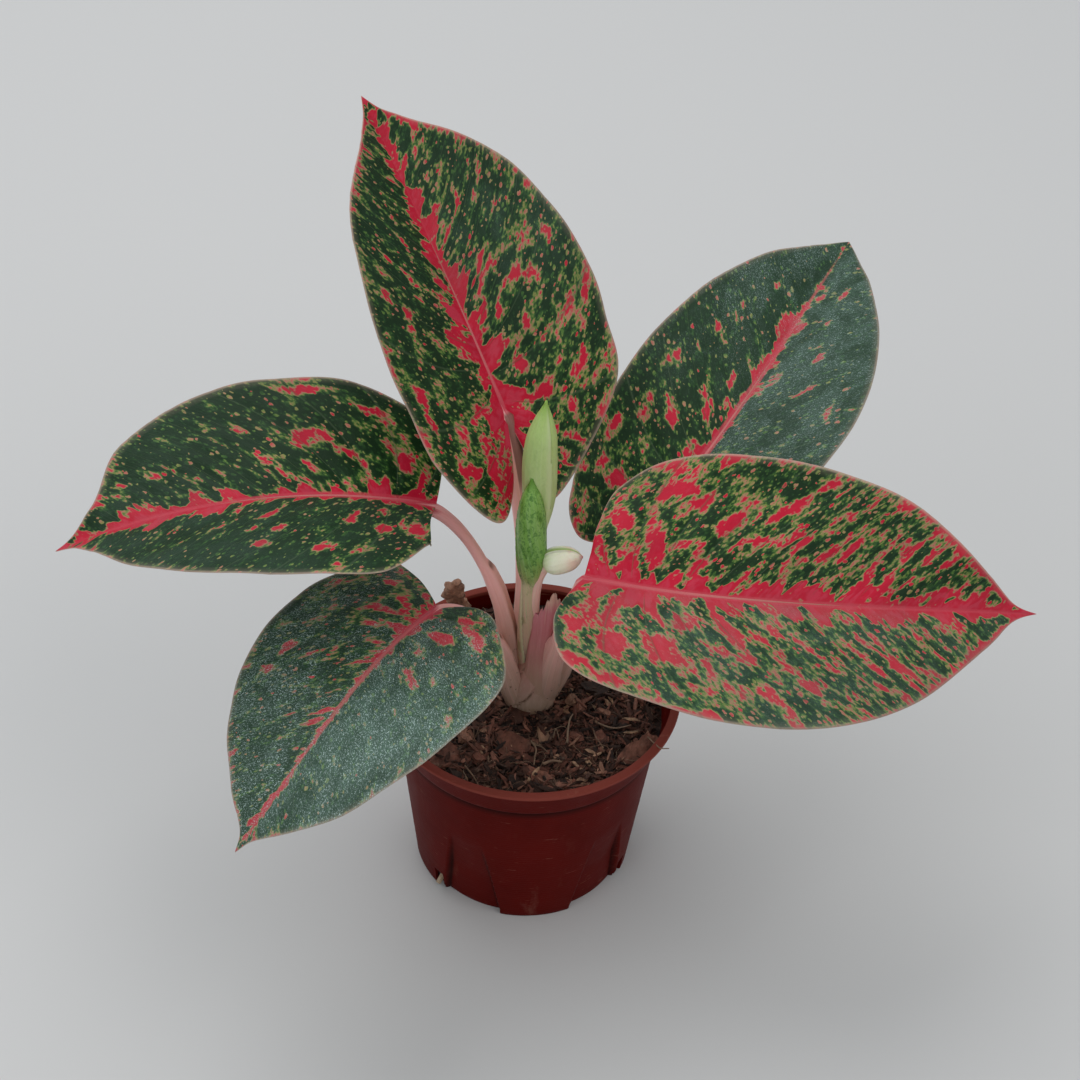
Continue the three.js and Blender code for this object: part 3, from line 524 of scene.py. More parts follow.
        "paintedSheen": ([0.4, 0.85, 1.15, 1.15, 0.95], [0.25, 0.45, 0.6, 0.6, 0.5]),
        "patches": [
            (0.085, -24, 4, 1.8), (0.02, -14, 6, 1.8), (0.05, -18, 4, 1.6), (0.13, -10, 5, 1.4),
            (0.32, -15, 6, 1.3), (0.22, -11, 4, 1.4), (0.13, -14, 3, 1.8), (0, 5, 5, 1.5),
            (0.02, 20, 2, 1), (0.06, 8, 5, 1.4), (0.1, 5, 4, 1.6), (0.12, 12, 4, 1.3), (0.16, 4, 4, 1.8),
            (0.18, 10, 3.4, 1.6), (0.25, 6, 4, 1.3), (0.33, 4, 5, 1.2), (0.337, 14.6, 2.2, 1.6),
            (0.37, 21, 4, 1), (0.45, 5, 3.4, 1.3), (0.52, 3, 3, 1.8), (0.56, 4, 3, 1.4),
            (0.616, 13, 1.8, 1.4), (0.77, 26, 3, 3), (0.75, -1, 1.8, 3), (0.83, 0, 2, 4), (0.9, 2, 2, 3),
            (0.38, 31, 2, 1.6), (0.47, 32, 2, 1.6),
        ],
    },
}
blade = {
    "outline": [(0, 0), (-0.75, 0.22), (-1, 0.5), (-0.3, 0.8), (0.16, 0.965), (0.36, 1),
                (0.56, 0.905), (0.74, 0.67), (0.88, 0.35), (0.955, 0.13), (1, 0)],
    "drawnTip": [(0, -0.035), (-0.01, -0.055)],   # moves two points near the end of a drawn-out tip
    "rows": 118,
    "columns": [0, 0.012, 0.026, 0.045, 0.07, 0.1, 0.14]
               + [0.14 + 0.84 * k / 20 for k in range(1, 21)] + [1],
    "rowBunching": 1.9,
    "columnSweep": 1.35,
    "midribSteps": 96,
    "thickness": 0.62,
    "edgeThickness": 0.22,
    "veinSpacing": 8.5,        # side veins, along the midrib
    "veinStagger": 0.37,       # how far the other half's veins are behind, as a share of that
    "veinSway": (0.11, 0.18),  # the spacing's slow change: radians per mm and share
    "veinSlope": [-0.9, 0.78], # forward slope of the side veins, at the base and past the lobes
    "veinCurve": 0.45,
    "veinDepth": 0.42,
    "veinWidth": 0.16,
    "quilt": 0.45,             # how far the leaf bulges between them
    "channel": 0.5,            # depth of the groove over the midrib
    "channelWidth": 1.5,
    "edgeRuffle": (0.2, 61),   # height, and how fast it changes along the edge
    "swells": (0.5, 0.09, 0.12),   # broad dents: height, and change along and across, per mm
    "waveShare": 0.4,          # the edge waves stand this share of the solid's
    "patchRed": 0.145,
}


def halfOutline(leaf, half):
    points = np.array(blade["outline"], float)
    points[1:3, 0] *= leaf["lobe"][half]
    points[1:3, 1] *= leaf["lobeWidth"][half]
    points[3] = (0.03 + points[3, 0] * leaf["lobe"][half], leaf["shoulder"][half])
    points[4:8, 0] += leaf["shift"][half]
    points[8:10] += np.array(blade["drawnTip"]) * leaf["drawn"]
    points[8:10, 1] *= leaf["tip"]
    return points


def midribAt(leaf, distance):
    # place, direction, leftward and upward axes of the midrib at distances from the stalk
    length, steps = leaf["length"], blade["midribSteps"]

    def direction(q):
        heading = np.radians(mix(*leaf["heading"], q) + leaf["bow"] * 4 * q * (1 - q))
        rise = np.radians(mix(*leaf["rise"], q))
        return np.stack([np.cos(rise) * np.cos(heading), np.cos(rise) * np.sin(heading), np.sin(rise)], -1)

    pieces = direction((np.arange(steps) + 0.5) / steps) * length / steps
    line = np.concatenate([[np.zeros(3)], np.cumsum(pieces, 0)]) + np.array(leaf["base"])
    q = np.clip(distance, 0, length) / length
    i = np.minimum((q * steps).astype(int), steps - 1)
    along = direction(q)
    place = mix(line[i], line[i + 1], (q * steps - i)[..., None])
    place = place + along * np.minimum(distance, 0)[..., None]
    level = unit(np.stack([-along[..., 1], along[..., 0], 0 * along[..., 0]], -1))
    upright = np.cross(along, level)
    roll = np.radians(mix(*leaf["roll"], q))[..., None]
    left = level * np.cos(roll) + upright * np.sin(roll)
    return place, along, left, upright * np.cos(roll) - level * np.sin(roll)


def veinFoot(leaf, distance, across):
    # where on the midrib, in mm, the side vein through a point leaves it, and the way along the vein
    length, width = leaf["length"], max(leaf["halfWidth"])
    low, high = np.full(distance.shape, -0.6 * length), np.full(distance.shape, 1.4 * length)
    for _ in range(32):
        foot = (low + high) / 2
        slope = mix(*blade["veinSlope"], smoothstep(foot / length, -0.05, 0.3))
        reach = foot + across * slope + blade["veinCurve"] * across ** 2 / width
        low, high = np.where(reach < distance, foot, low), np.where(reach < distance, high, foot)
    slope = mix(*blade["veinSlope"], smoothstep(foot / length, -0.05, 0.3))
    return foot, across * np.sqrt(1 + slope ** 2)


def veinRelief(leaf, foot, across, column, row, half):
    b, seed = blade, leaf["seed"]
    swayRate, swayShare = b["veinSway"]
    phase = foot / b["veinSpacing"] + b["veinStagger"] * half + swayShare * np.sin(foot * swayRate + seed)
    between = np.abs(np.sin(np.pi * phase))
    veined = smoothstep(across, 0.5, 9) * (1 - 0.75 * smoothstep(column, 0.55, 0.98)) * leaf.get("relief", 1)
    ends = smoothstep(row, 0.05, 0.3) * (1 - smoothstep(row, 0.8, 0.97))
    bulge = b["quilt"] * (between ** 0.8 - 0.5) * veined * ends
    groove = -b["veinDepth"] * swell(between, 0, b["veinWidth"]) * veined * ends
    channel = -b["channel"] * swell(across, 0, b["channelWidth"]) * (1 - row)
    height, rate = b["edgeRuffle"]
    ruffle = height * column ** 5 * np.sin(row * rate + 3 * half + seed) * ends
    height, alongRate, acrossRate = b["swells"]
    broad = height * np.sin(foot * alongRate + seed) * np.sin(across * acrossRate + half)
    return bulge + groove + channel + ruffle + broad * ends * smoothstep(column, 0, 0.5)


def bladeSheet(leaf):
    # middle sheet of the blade: places, upward axes, and what the paint and the relief need
    rows = np.arange(1, blade["rows"]) / blade["rows"]
    height, waves, phase = leaf["wave"]
    parts = []
    for half, sign in ((0, -1), (1, 1)):
        row, column = np.meshgrid(rows, np.array(blade["columns"]), indexing="ij")
        edge = catmullRom(halfOutline(leaf, half), row)
        start = row ** blade["rowBunching"]
        distance = mix(start, edge[..., 0], column ** blade["columnSweep"]) * leaf["length"]
        width = leaf["halfWidth"][half]
        across = edge[..., 1] * column * width
        place, _, left, up = midribAt(leaf, distance)
        fold = math.radians(leaf["fold"][half])
        ripple = np.sin(2 * np.pi * waves * row + phase + 2 * half)
        ripple = blade["waveShare"] * height * column ** 2 * ripple
        fade = np.minimum(1, 6 * row * (1 - row))
        lift = across * math.sin(fold) - leaf["droop"][half] * (across / width) ** 2 + ripple * fade
        foot, reach = veinFoot(leaf, distance, across)
        lift = lift + veinRelief(leaf, foot, across, column, row, half)
        sideways = -sign * across * math.cos(fold)
        place = place + left * sideways[..., None] + up * lift[..., None]
        parts.append([place, up, distance, sign * across, foot, sign * reach, column])
    return [np.concatenate([a[:, :0:-1], b], axis=1) for a, b in zip(*parts)]


def redness(leaf, distance, across, foot, reach, column):
    # how likely the red is, away from the midrib: by half and length, at the tip, and at the named patches
    t = distance / leaf["length"]
    value = np.where(across < 0, profileAt(leaf["red"][0], t), profileAt(leaf["red"][1], t))
    value = value + leaf["tipRed"] * smoothstep(t, 0.95, 1.0)
    value = value + leaf["edgeRed"] * smoothstep(column, 0.9, 1.0) * smoothstep(t, 0.6, 0.95)
    value = value + 0.1 * smoothstep(column, 0.965, 1.0)
    for along, over, length, width in leaf["patches"]:
        centre, out = veinFoot(leaf, np.array([along * leaf["length"]]), np.array([abs(over)]))
        out = math.copysign(out[0], over)
        spot = np.exp(-((reach - out) / length) ** 2 - ((foot - centre[0]) / width) ** 2)
        value = value + (blade["patchRed"] - value) * smoothstep(spot, 0.12, 0.75)
    return value


def bladeFaces(rows, columns):
    # both sheets, a fan to each end's two points, and the wall round the edge, each with its material
    count = rows * columns
    grids = [np.arange(count).reshape(rows, columns) + k * count for k in (0, 1)]
    faces, kinds = [], []
    for side, quads in enumerate(bothSides(*grids)):
        grid, start = grids[side], 2 * (count + side)
        faces += quads
        for k in range(columns - 1):
            low, high = (grid[0, k], grid[0, k + 1]), (grid[-1, k + 1], grid[-1, k])
            if side:
                low, high = low[::-1], high[::-1]
            faces.append((start, *map(int, low)))
            faces.append((start + 1, *map(int, high)))
        kinds += [side] * (len(faces) - len(kinds))
    for k, turn in ((0, False), (columns - 1, True)):
        upper, lower = [[2 * (count + side), *grid[:, k].tolist(), 2 * (count + side) + 1]
                        for side, grid in enumerate(grids)]
        for i in range(rows + 1):
            quad = (upper[i], lower[i], lower[i + 1], upper[i + 1])
            faces.append(quad[::-1] if turn else quad)
            kinds.append(0)
    return faces, kinds


def makeLeaf(name, leaf, materials):
    place, up, distance, across, foot, reach, column = bladeSheet(leaf)
    thick = mix(blade["thickness"], blade["edgeThickness"], column ** 8)
    length = float(leaf["length"])
    poles, _, _, polesUp = midribAt(leaf, np.array([0.0, length]))
    sheets = [(place + up * (sign * thick / 2)[..., None]).reshape(-1, 3) for sign in (1, -1)]
    ends = [poles + polesUp * sign * blade["edgeThickness"] / 2 for sign in (1, -1)]
    bladePoints = np.concatenate([*sheets, *ends])
    faces, kinds = bladeFaces(*place.shape[:2])
    stalkPoints, stalkFaces, tags, dryAndShade = makeStalk(leaf)
    points, faces = joined([(bladePoints, faces), (stalkPoints, stalkFaces)])
    kinds += [2] * len(stalkFaces)
    none = np.zeros(len(stalkPoints))

    def onBlade(values, start=0, end=0):
        # the same for the upper and the lower sheet, then the values at the two ends
        return np.concatenate([values.ravel(), values.ravel(), [start, end, start, end]])

    t = distance / length
    band, rib = profileAt(leaf["band"], t), profileAt(leaf["rib"], t)
    # painted sheen: a sky reflection painted into the colour, blended from the left half's amount to the
    # right half's
    paintedSheen = mix(*[profileAt(half, t) for half in leaf["paintedSheen"]], smoothstep(across, -3, 3))
    red = redness(leaf, distance, across, foot, reach, column)
    flat = np.stack([onBlade(across), onBlade(distance - 0.6 * np.abs(across), 0, length)], -1)
    veins = np.stack([onBlade(reach), onBlade(foot, 0, length)], -1)
    numbers = {
        "redness": onBlade(red, 0.4, 0.6),
        "margin": onBlade(smoothstep(column, 0.97, 1.0) ** 1.5, 0, 1),
        "band": onBlade(band, leaf["band"][0], leaf["band"][-1]),
        "rib": onBlade(rib, leaf["rib"][0], leaf["rib"][-1]),
        "paintedSheen": onBlade(paintedSheen),
    }
    numbers = {title: np.concatenate([values, none]) for title, values in numbers.items()}
    # the dry edge of the stalk's tongue, and the painted shade down one stalk's side
    numbers["dryAndShade"] = np.concatenate([np.zeros(len(bladePoints)), dryAndShade])
    noVeins = np.stack([none, none], -1)
    uvs = {"flat": np.concatenate([flat, tags]), "veins": np.concatenate([veins, noVeins])}
    return pieceFrom(name.replace("leaf", "foliage"), points, faces, materials, kinds, uvs, numbers)


stalk = {
    "radii": [4.8, 4.7, 4.0, 3.1, 2.7, 2.6, 2.5, 2.5],
    "steps": (40, 46),         # rings on the stalk and on the rib
    "blunt": 0.78,             # the sheath is flatter from front to back
    "sheathEnd": 0.45,
    "tongue": 1.5,             # how far the sheath's upper end stands off the stalk
    "axis": (0.2, 1.2),        # the feet draw together round it, just over the soil
    "gather": 0.2,
    "sunk": 2.0,               # how far its middle lies under the blade's, where the blade begins
    "ribEnd": 0.96,            # where along the blade its rib runs out
    "ribRadius": [2.4, 1.6, 1.4, 1.25, 1.05, 0.9, 0.75, 0.6, 0.45],
    "wing": 0.55,              # height of the two edges of the sheath
    "hollow": 0.8,             # depth of the channel between them
    "groove": 0.3,             # depth of the channel higher up
    "sides": 32,
}


def stalkRoute(leaf):
    # from the soil to the blade, then on under it as the rib
    s, (bareSteps, ribSteps) = stalk, stalk["steps"]
    place, _, _, up = midribAt(leaf, np.array([0.0]))
    end = place[0] - up[0] * s["sunk"]
    a, b, c, d = (np.array(p, float) for p in (leaf["foot"], leaf["bend1"], leaf["bend2"], end))
    t = np.linspace(0, 1, bareSteps)[:, None]
    bare = (1 - t) ** 3 * a + 3 * (1 - t) ** 2 * t * b + 3 * (1 - t) * t ** 2 * c + t ** 3 * d
    gather = s["gather"] * (1 - smoothstep(bare[:, 2:], 70, 84))
    bare[:, :2] = mix(bare[:, :2], np.array(s["axis"]), gather)
    reach = np.linspace(0, s["ribEnd"], ribSteps)[1:]
    place, _, _, up = midribAt(leaf, reach * leaf["length"])
    sunk = np.maximum(s["sunk"] * np.exp(-reach * 9), profileAt(s["ribRadius"], reach) * 0.55)
    rib = place - up * (sunk + blade["channel"] * (1 - reach))[:, None]
    return np.concatenate([bare, rib])


def makeStalk(leaf):
    s = stalk
    route = stalkRoute(leaf)
    split = s["steps"][0] / len(route)
    outward = np.array([leaf["base"][0] - leaf["foot"][0], leaf["base"][1] - leaf["foot"][1], 0.0])
    outward = unit(unit(outward) + (0, 0, -1.0))
    sheathEnd = leaf.get("sheathEnd", s["sheathEnd"])

    def radiusAt(t, angle):
        onStalk, onRib = np.clip(t / split, 0, 1), np.clip((t - split) / (1 - split), 0, 1)
        radius = np.where(t < split, profileAt(leaf.get("stalk", s["radii"]), onStalk),
                          profileAt(s["ribRadius"], onRib))
        sheathing = np.clip(1 - onStalk / sheathEnd, 0, 1)
        flat = mix(1, mix(1, s["blunt"], np.cos(angle) ** 2), sheathing)
        fromInside = np.abs(angle - np.pi)
        edges = s["wing"] * swell(fromInside, 0.75, 0.2) * smoothstep(sheathing, 0.02, 0.3)
        channel = s["hollow"] * (1 - smoothstep(fromInside, 0.25, 0.7)) * smoothstep(sheathing, 0, 0.4)
        groove = s["groove"] * (1 - smoothstep(fromInside, 0.1, 0.6)) * (t < split)
        below = sheathEnd - onStalk
        tongue = s["tongue"] * smoothstep(below, 0, 0.035) * (1 - smoothstep(below, 0.12, 0.4))
        tongue = tongue * (1 - smoothstep(fromInside, 0.5, 1.3))
        return radius * flat + edges - channel * (1 - tongue / s["tongue"]) - groove + tongue

    points, faces, tags = sweep(route, outward, radiusAt, s["sides"])
    # where it is painted brown: the tongue's edge, which is dry, and on one leaf a side of the upper stalk,
    # where the brown is painted shade
    around, ahead = tags.T
    dryAndShade = swell(ahead, sheathEnd * split - 0.012, 0.008) * (1 - smoothstep(np.abs(around - 0.5), 0.05, 0.14))
    if "paintedShadeSide" in leaf:
        near = smoothstep(ahead, 0.3, 0.4) * (1 - smoothstep(ahead, 0.465, 0.475))
        near = near * smoothstep(around, *leaf["paintedShadeSide"]) * (1 - smoothstep(around, 0.7, 0.8))
        dryAndShade = np.maximum(dryAndShade, near)
    return points, faces, tags, dryAndShade


leafColors = {
    "deep": (0.0080, 0.029, 0.0075), "green": (0.016, 0.052, 0.0135), "mid": (0.038, 0.100, 0.021),
    "fresh": (0.105, 0.195, 0.038), "lime": (0.260, 0.255, 0.075), "tan": (0.450, 0.220, 0.135),
    "salmon": (0.540, 0.090, 0.085), "crimson": (0.580, 0.010, 0.038), "rose": (0.600, 0.034, 0.070),
    "rib": (0.600, 0.050, 0.080), "vein": (0.075, 0.115, 0.055), "dust": (0.52, 0.65, 0.62),
    # the sheen colour below is a painted sky reflection, not the leaf's own colour
    "paintedSheen": (0.16, 0.26, 0.21), "margin": (0.60, 0.43, 0.34),
}
leafPattern = {
    # from deep green to red: the value at which each colour stands
    "stops": [(0.0, "deep"), (0.36, "deep"), (0.44, "green"), (0.48, "mid"), (0.506, "fresh"),
              (0.54, "lime"), (0.572, "tan"), (0.612, "salmon"), (0.628, "crimson"), (0.78, "crimson"),
              (0.97, "rose")],
    # noise scales are in features per mm: along and over the veins, or across and along the leaf
    "blotch": (0.095, 0.24, 1), "cloud": (0.2, 0.25, 1), "fine": (0.62, 0.7, 1), "speck": (0.42, 0.48, 1),
    "shade": (0.05, 0.05, 1), "swirl": (0.07, 0.05, 1), "ridges": (0.35, 1.1, 1), "grain": 2.6, "dust": 1.9,
    "blotchShare": 1.0, "cloudShare": 0.5, "fineShare": 0.42,
    "bandShare": 0.34, "bandFeather": 0.17, "bandReach": (0.35, 2.7),
    "speckLow": 0.5, "speckRange": 0.17, "speckFloor": 0.3,
    # the sheen share: how strongly the painted sky reflection is laid over the colour
    "veinShare": 0.45, "ribShare": 0.75, "marginShare": 0.8, "paintedSheenShare": 0.34,
    "dustSpan": (0.552, 0.602),
    "specular": 0.13,
    "relief": (0.00022, 0.8),
}


def speckles(tree, flat, bias, cloud, seed):
    # round specks of every size; the redder and the cloudier, the brighter
    k = leafPattern
    wander = addNode(tree, "ShaderNodeTexNoise", Vector=flat, Scale=0.7, Detail=1.0).outputs["Color"]
    shaken = addNode(tree, "ShaderNodeVectorMath", {"operation": "MULTIPLY_ADD"}, i0=wander,
                     i1=(1.4, 1.4, 0), i2=flat).outputs[0]
    cells = addNode(tree, "ShaderNodeTexVoronoi", {"feature": "F1", "voronoi_dimensions": "2D"},
                    Vector=stretched(tree, shaken, k["speck"], (seed * 7, 0, 0)), Scale=1.0)
    chance = addNode(tree, "ShaderNodeSeparateColor", Color=cells.outputs["Color"]).outputs
    size = timesPlus(tree, calc(tree, "POWER", chance[0], 2.0), 0.3, 0.2)
    shape = spread(tree, calc(tree, "SUBTRACT", size, cells.outputs["Distance"]), -0.02, 0.17)
    peak = timesPlus(tree, calc(tree, "POWER", chance[1], 1.6), k["speckRange"], k["speckLow"])
    peak = timesPlus(tree, bias, 0.45, peak)
    peak = timesPlus(tree, calc(tree, "SUBTRACT", cloud, 0.5), 0.35, peak)
    return timesPlus(tree, calc(tree, "SUBTRACT", peak, k["speckFloor"]), shape, k["speckFloor"])


def redBand(tree, band, onVein, reach):
    # the red over the midrib, feathered into the veins and not the same on both sides
    k = leafPattern
    side = times(tree, calc(tree, "GREATER_THAN", onVein[0], 0.0), 9.0)
    along = vectorOf(tree, X=side, Y=times(tree, onVein[1], k["bandFeather"]), Z=times(tree, reach, 0.04))
    feather = spread(tree, noiseOf(tree, along, 1, 2, 0.55), 0.34, 0.7, *k["bandReach"])
    inBand = calc(tree, "SUBTRACT", times(tree, band, feather), reach)
    return spread(tree, inBand, -1.2, 1.6)


def sideVeins(tree, onVein, across, seed):
    # thin lines over the grooves that veinRelief makes
    b = blade
    swayRate, swayShare = b["veinSway"]
    half = times(tree, calc(tree, "GREATER_THAN", onVein[0], 0.0), b["veinStagger"])
    step = timesPlus(tree, onVein[1], 1 / b["veinSpacing"], half)
    sway = calc(tree, "SINE", timesPlus(tree, onVein[1], swayRate, float(seed)))
    phase = timesPlus(tree, sway, swayShare, step)
    offVein = calc(tree, "ABSOLUTE", calc(tree, "SINE", times(tree, phase, math.pi)))
    return times(tree, spread(tree, offVein, 0.12, 0.0), spread(tree, across, 1.0, 8.0))


def leafPaint(name, leaf):
    material, tree, shader = newMaterial(name)
    c, k, seed = leafColors, leafPattern, leaf["seed"]
    veins, flat = uvOf(tree, "veins"), uvOf(tree, "flat")
    bias, margin, band, rib, sheenAmount = [numberOf(tree, n) for n in ("redness", "margin", "band", "rib", "paintedSheen")]
    onVein = partsOf(tree, veins)
    reach = calc(tree, "ABSOLUTE", onVein[0])
    across = calc(tree, "ABSOLUTE", partsOf(tree, flat)[0])

    # blotches, drawn out along the side veins
    blotch = noiseOf(tree, stretched(tree, veins, k["blotch"], (seed, seed * 2, 0)), 1, 2, 0.55, 0.3)
    cloud = noiseOf(tree, stretched(tree, flat, k["cloud"], (seed * 3, seed, 0)), 1, 2, 0.5, 0.3)
    fine = noiseOf(tree, stretched(tree, flat, k["fine"], (seed, seed * 5, 0)), 1, 2, 0.5)
    value = timesPlus(tree, blotch, k["blotchShare"], bias)
    value = timesPlus(tree, cloud, k["cloudShare"], value)
    value = timesPlus(tree, fine, k["fineShare"], value)
    value = calc(tree, "SUBTRACT", value, (k["blotchShare"] + k["cloudShare"] + k["fineShare"] - 1) / 2)
    value = timesPlus(tree, redBand(tree, band, onVein, reach), k["bandShare"], value)
    value = calc(tree, "SMOOTH_MAX", value, speckles(tree, flat, bias, cloud, seed), 0.03)
    paint = colorRamp(tree, value, [(place, c[color]) for place, color in k["stops"]])
    shade = noiseOf(tree, stretched(tree, flat, k["shade"], (0, seed, 0)), 1, 3, 0.6)
    paint = shaded(tree, paint, colorRamp(tree, shade, [(0.3, (0.8, 0.82, 0.8)), (0.7, (1.1, 1.1, 1.08))]))

    line = sideVeins(tree, onVein, across, seed)
    onRib = spread(tree, calc(tree, "SUBTRACT", rib, across), -0.35, 0.3)
    onRib = times(tree, onRib, spread(tree, rib, 0.1, 0.6))
    paint = glaze(tree, paint, line, k["veinShare"], c["vein"])
    paint = glaze(tree, paint, onRib, k["ribShare"], c["rib"])
    paint = glaze(tree, paint, margin, k["marginShare"], c["margin"])

    # dust specks, and a painted sheen: a bluish sky reflection painted into the colour as a film, with the
    # dust showing only where that sheen lies
    grain = noiseOf(tree, flat, k["grain"], 3, 0.65)
    swirl = noiseOf(tree, stretched(tree, flat, k["swirl"], (seed, 0, 0)), 1, 4, 0.65, 1.2)
    paintedSheen = times(tree, sheenAmount, spread(tree, swirl, 0.3, 0.7, 0.45, 1.25))
    bits = spread(tree, noiseOf(tree, flat, k["dust"], 4, 0.8, 0.8), *k["dustSpan"])
    bits = times(tree, bits, spread(tree, swirl, 0.36, 0.6, 0.4, 1.0))
    dusty = times(tree, times(tree, bits, spread(tree, paintedSheen, 0.02, 0.6)), leaf["dust"])
    paint = glaze(tree, paint, paintedSheen, k["paintedSheenShare"], c["paintedSheen"])
    paint = blendColor(tree, dusty, paint, c["dust"])
    rough = timesPlus(tree, dusty, 0.3, timesPlus(tree, grain, 0.18, leaf["gloss"] - 0.09))
    ridges = noiseOf(tree, stretched(tree, veins, k["ridges"]), 1, 3, 0.6)
    height = timesPlus(tree, line, -0.6, timesPlus(tree, grain, 0.3, ridges))
    finishSkin(tree, shader, paint, rough, k["specular"], None, height, k["relief"])
    return material


undersideLook = {
    "streaks": (0.075, 0.25, 1), "specks": (0.5, 0.62, 1), "ridges": (0.3, 1.2, 1),
    "stops": [(0.4, (0.060, 0.105, 0.070)), (0.52, (0.105, 0.165, 0.085)), (0.57, (0.26, 0.24, 0.12)),
              (0.66, (0.40, 0.12, 0.11)), (0.9, (0.48, 0.15, 0.15))],
    "roughness": 0.55, "relief": (0.0002, 0.8),
}
stalkLook = {
    "stops": [(0.0, (0.30, 0.18, 0.11)), (0.05, (0.58, 0.39, 0.28)), (0.13, (0.74, 0.44, 0.35)),
              (0.24, (0.97, 0.49, 0.44)), (0.45, (0.97, 0.42, 0.40)), (0.48, (0.60, 0.05, 0.08)),
              (0.6, (0.66, 0.15, 0.15)), (0.85, (0.3, 0.2, 0.11)), (1.0, (0.14, 0.17, 0.08))],
    "wander": (9, 5, 1), "streak": (46, 3.2, 1), "spots": 420,
    "light": (0.96, 0.58, 0.52), "lightSpan": (0.45, 0.7), "lightShare": 0.35, "lightEnd": (0.47, 0.43),
    "dark": (0.60, 0.13, 0.12), "darkSpan": (0.48, 0.3), "darkShare": 0.16,
    # the second colour below is brown, for the dry edge of the tongue and for painted shade down one stalk's
    # side
    "spot": (0.10, 0.04, 0.025), "dryAndShadeBrown": (0.16, 0.06, 0.035),
    "roughness": 0.42, "specular": 0.38, "through": (0.12, (0.004, 0.0018, 0.0012)),
    "relief": (0.00025, 0.7),
}


def undersidePaint():
    material, tree, shader = newMaterial("leafUnderside")
    k, flat, veins = undersideLook, uvOf(tree, "flat"), uvOf(tree, "veins")
    streaks = noiseOf(tree, stretched(tree, veins, k["streaks"]), 1, 4, 0.6)
    specks = noiseOf(tree, stretched(tree, flat, k["specks"]), 1, 2, 0.5)
    value = timesPlus(tree, streaks, 1.1, numberOf(tree, "redness"))
    value = timesPlus(tree, specks, 0.7, calc(tree, "SUBTRACT", value, 0.4))
    ridges = noiseOf(tree, stretched(tree, veins, k["ridges"]), 1, 3, 0.6)
    paint = colorRamp(tree, value, k["stops"])
    finishSkin(tree, shader, paint, k["roughness"], None, None, ridges, k["relief"])
    return material


def stalkPaint():
    material, tree, shader = newMaterial("stalkSkin")
    k, flat = stalkLook, uvOf(tree, "flat")
    length = partsOf(tree, flat)[1]
    wander = noiseOf(tree, stretched(tree, flat, k["wander"]), 1, 3, 0.6)
    paint = colorRamp(tree, timesPlus(tree, wander, 0.14, calc(tree, "SUBTRACT", length, 0.07)), k["stops"])
    streak = noiseOf(tree, stretched(tree, flat, k["streak"]), 1, 3, 0.6)
    light = spread(tree, streak, *k["lightSpan"], 0, k["lightShare"])
    light = times(tree, light, spread(tree, length, *k["lightEnd"]))
    paint = blendColor(tree, light, paint, k["light"])
    paint = tint(tree, paint, streak, k["darkSpan"], k["darkShare"], k["dark"])
    spots = spread(tree, noiseOf(tree, objectCoordinates(tree), k["spots"], 3, 0.6), 0.63, 0.7)
    paint = blendColor(tree, times(tree, spots, spread(tree, length, 0.2, 0.0)), paint, k["spot"])
    # brown at the dry edge of the tongue, and painted shade down one side of the top leaf's stalk
    paint = tint(tree, paint, numberOf(tree, "dryAndShade"), (0.2, 0.8), 0.8, k["dryAndShadeBrown"])
    finishSkin(tree, shader, paint, k["roughness"], k["specular"], k["through"], streak, k["relief"])
    return material


# rolled leaf, spathe and bud

# points: the middle line; radii: along it; overlap: how much the roll grows once round;
# seam: where its edge is, in degrees. The bud's head is a body of its own on top of its stalk.
shoots = {
    "young_leaf": {
        "points": [[-1.5, 2.5, 87], [-2, 1, 104], [-1.5, -1, 124], [-1, -2, 138], [-2, -1.6, 158],
                   [-2.6, -1, 181]],
        "radii": [3, 3.1, 3.2, 3.2, 3.2, 3.2, 3.2, 3.2, 3.2, 3.5, 4.7, 5.2, 5.3, 5.3, 4.8, 3.3, 0.5],
        "overlap": 0.16, "rollFrom": [0, 0.05], "seam": 285, "twist": -150, "ribs": 0.02,
    },
    "spathe": {
        "points": [[0, 6.5, 87], [-0.8, 7, 112], [-0.6, 6.8, 138], [0.3, 5.8, 166], [0, 4.6, 188],
                   [1, 4.5, 211]],
        "radii": [2.1, 2.1, 2.2, 2.2, 2.3, 2.4, 2.5, 2.8, 3.6, 5.0, 5.9, 6.1, 6.1, 5.8, 5.0, 2.9, 0.4],
        "overlap": 0.1, "rollFrom": [0.38, 0.55], "seam": 330, "twist": -25, "ribs": 0.03,
    },
    "spathe_bud": {
        "points": [[1.6, 3.2, 87], [0.6, 0.6, 112], [0.4, -2.4, 125], [1.5, -4.2, 138], [4.6, -4.2, 146]],
        "radii": [2.2, 2.2, 2.1, 1.9, 1.8, 1.7, 1.6, 1.55, 1.6],
        "overlap": 0, "rollFrom": [0.38, 0.55], "seam": 262, "twist": 0, "ribs": 0.02,
        "head": [[2.4, -4.2, 145.2], [6.6, -4.2, 146.5], [11.4, -4.2, 147.9], [16.2, -4.2, 149.3]],
        "headRadii": [0.9, 3, 4.0, 4.5, 4.75, 4.8, 4.75, 4.6, 4.35, 3.9, 3.2, 2.1, 0.4],
        "headOverlap": 0.16, "headSeam": [0.1, -0.12, 1],
    },
}
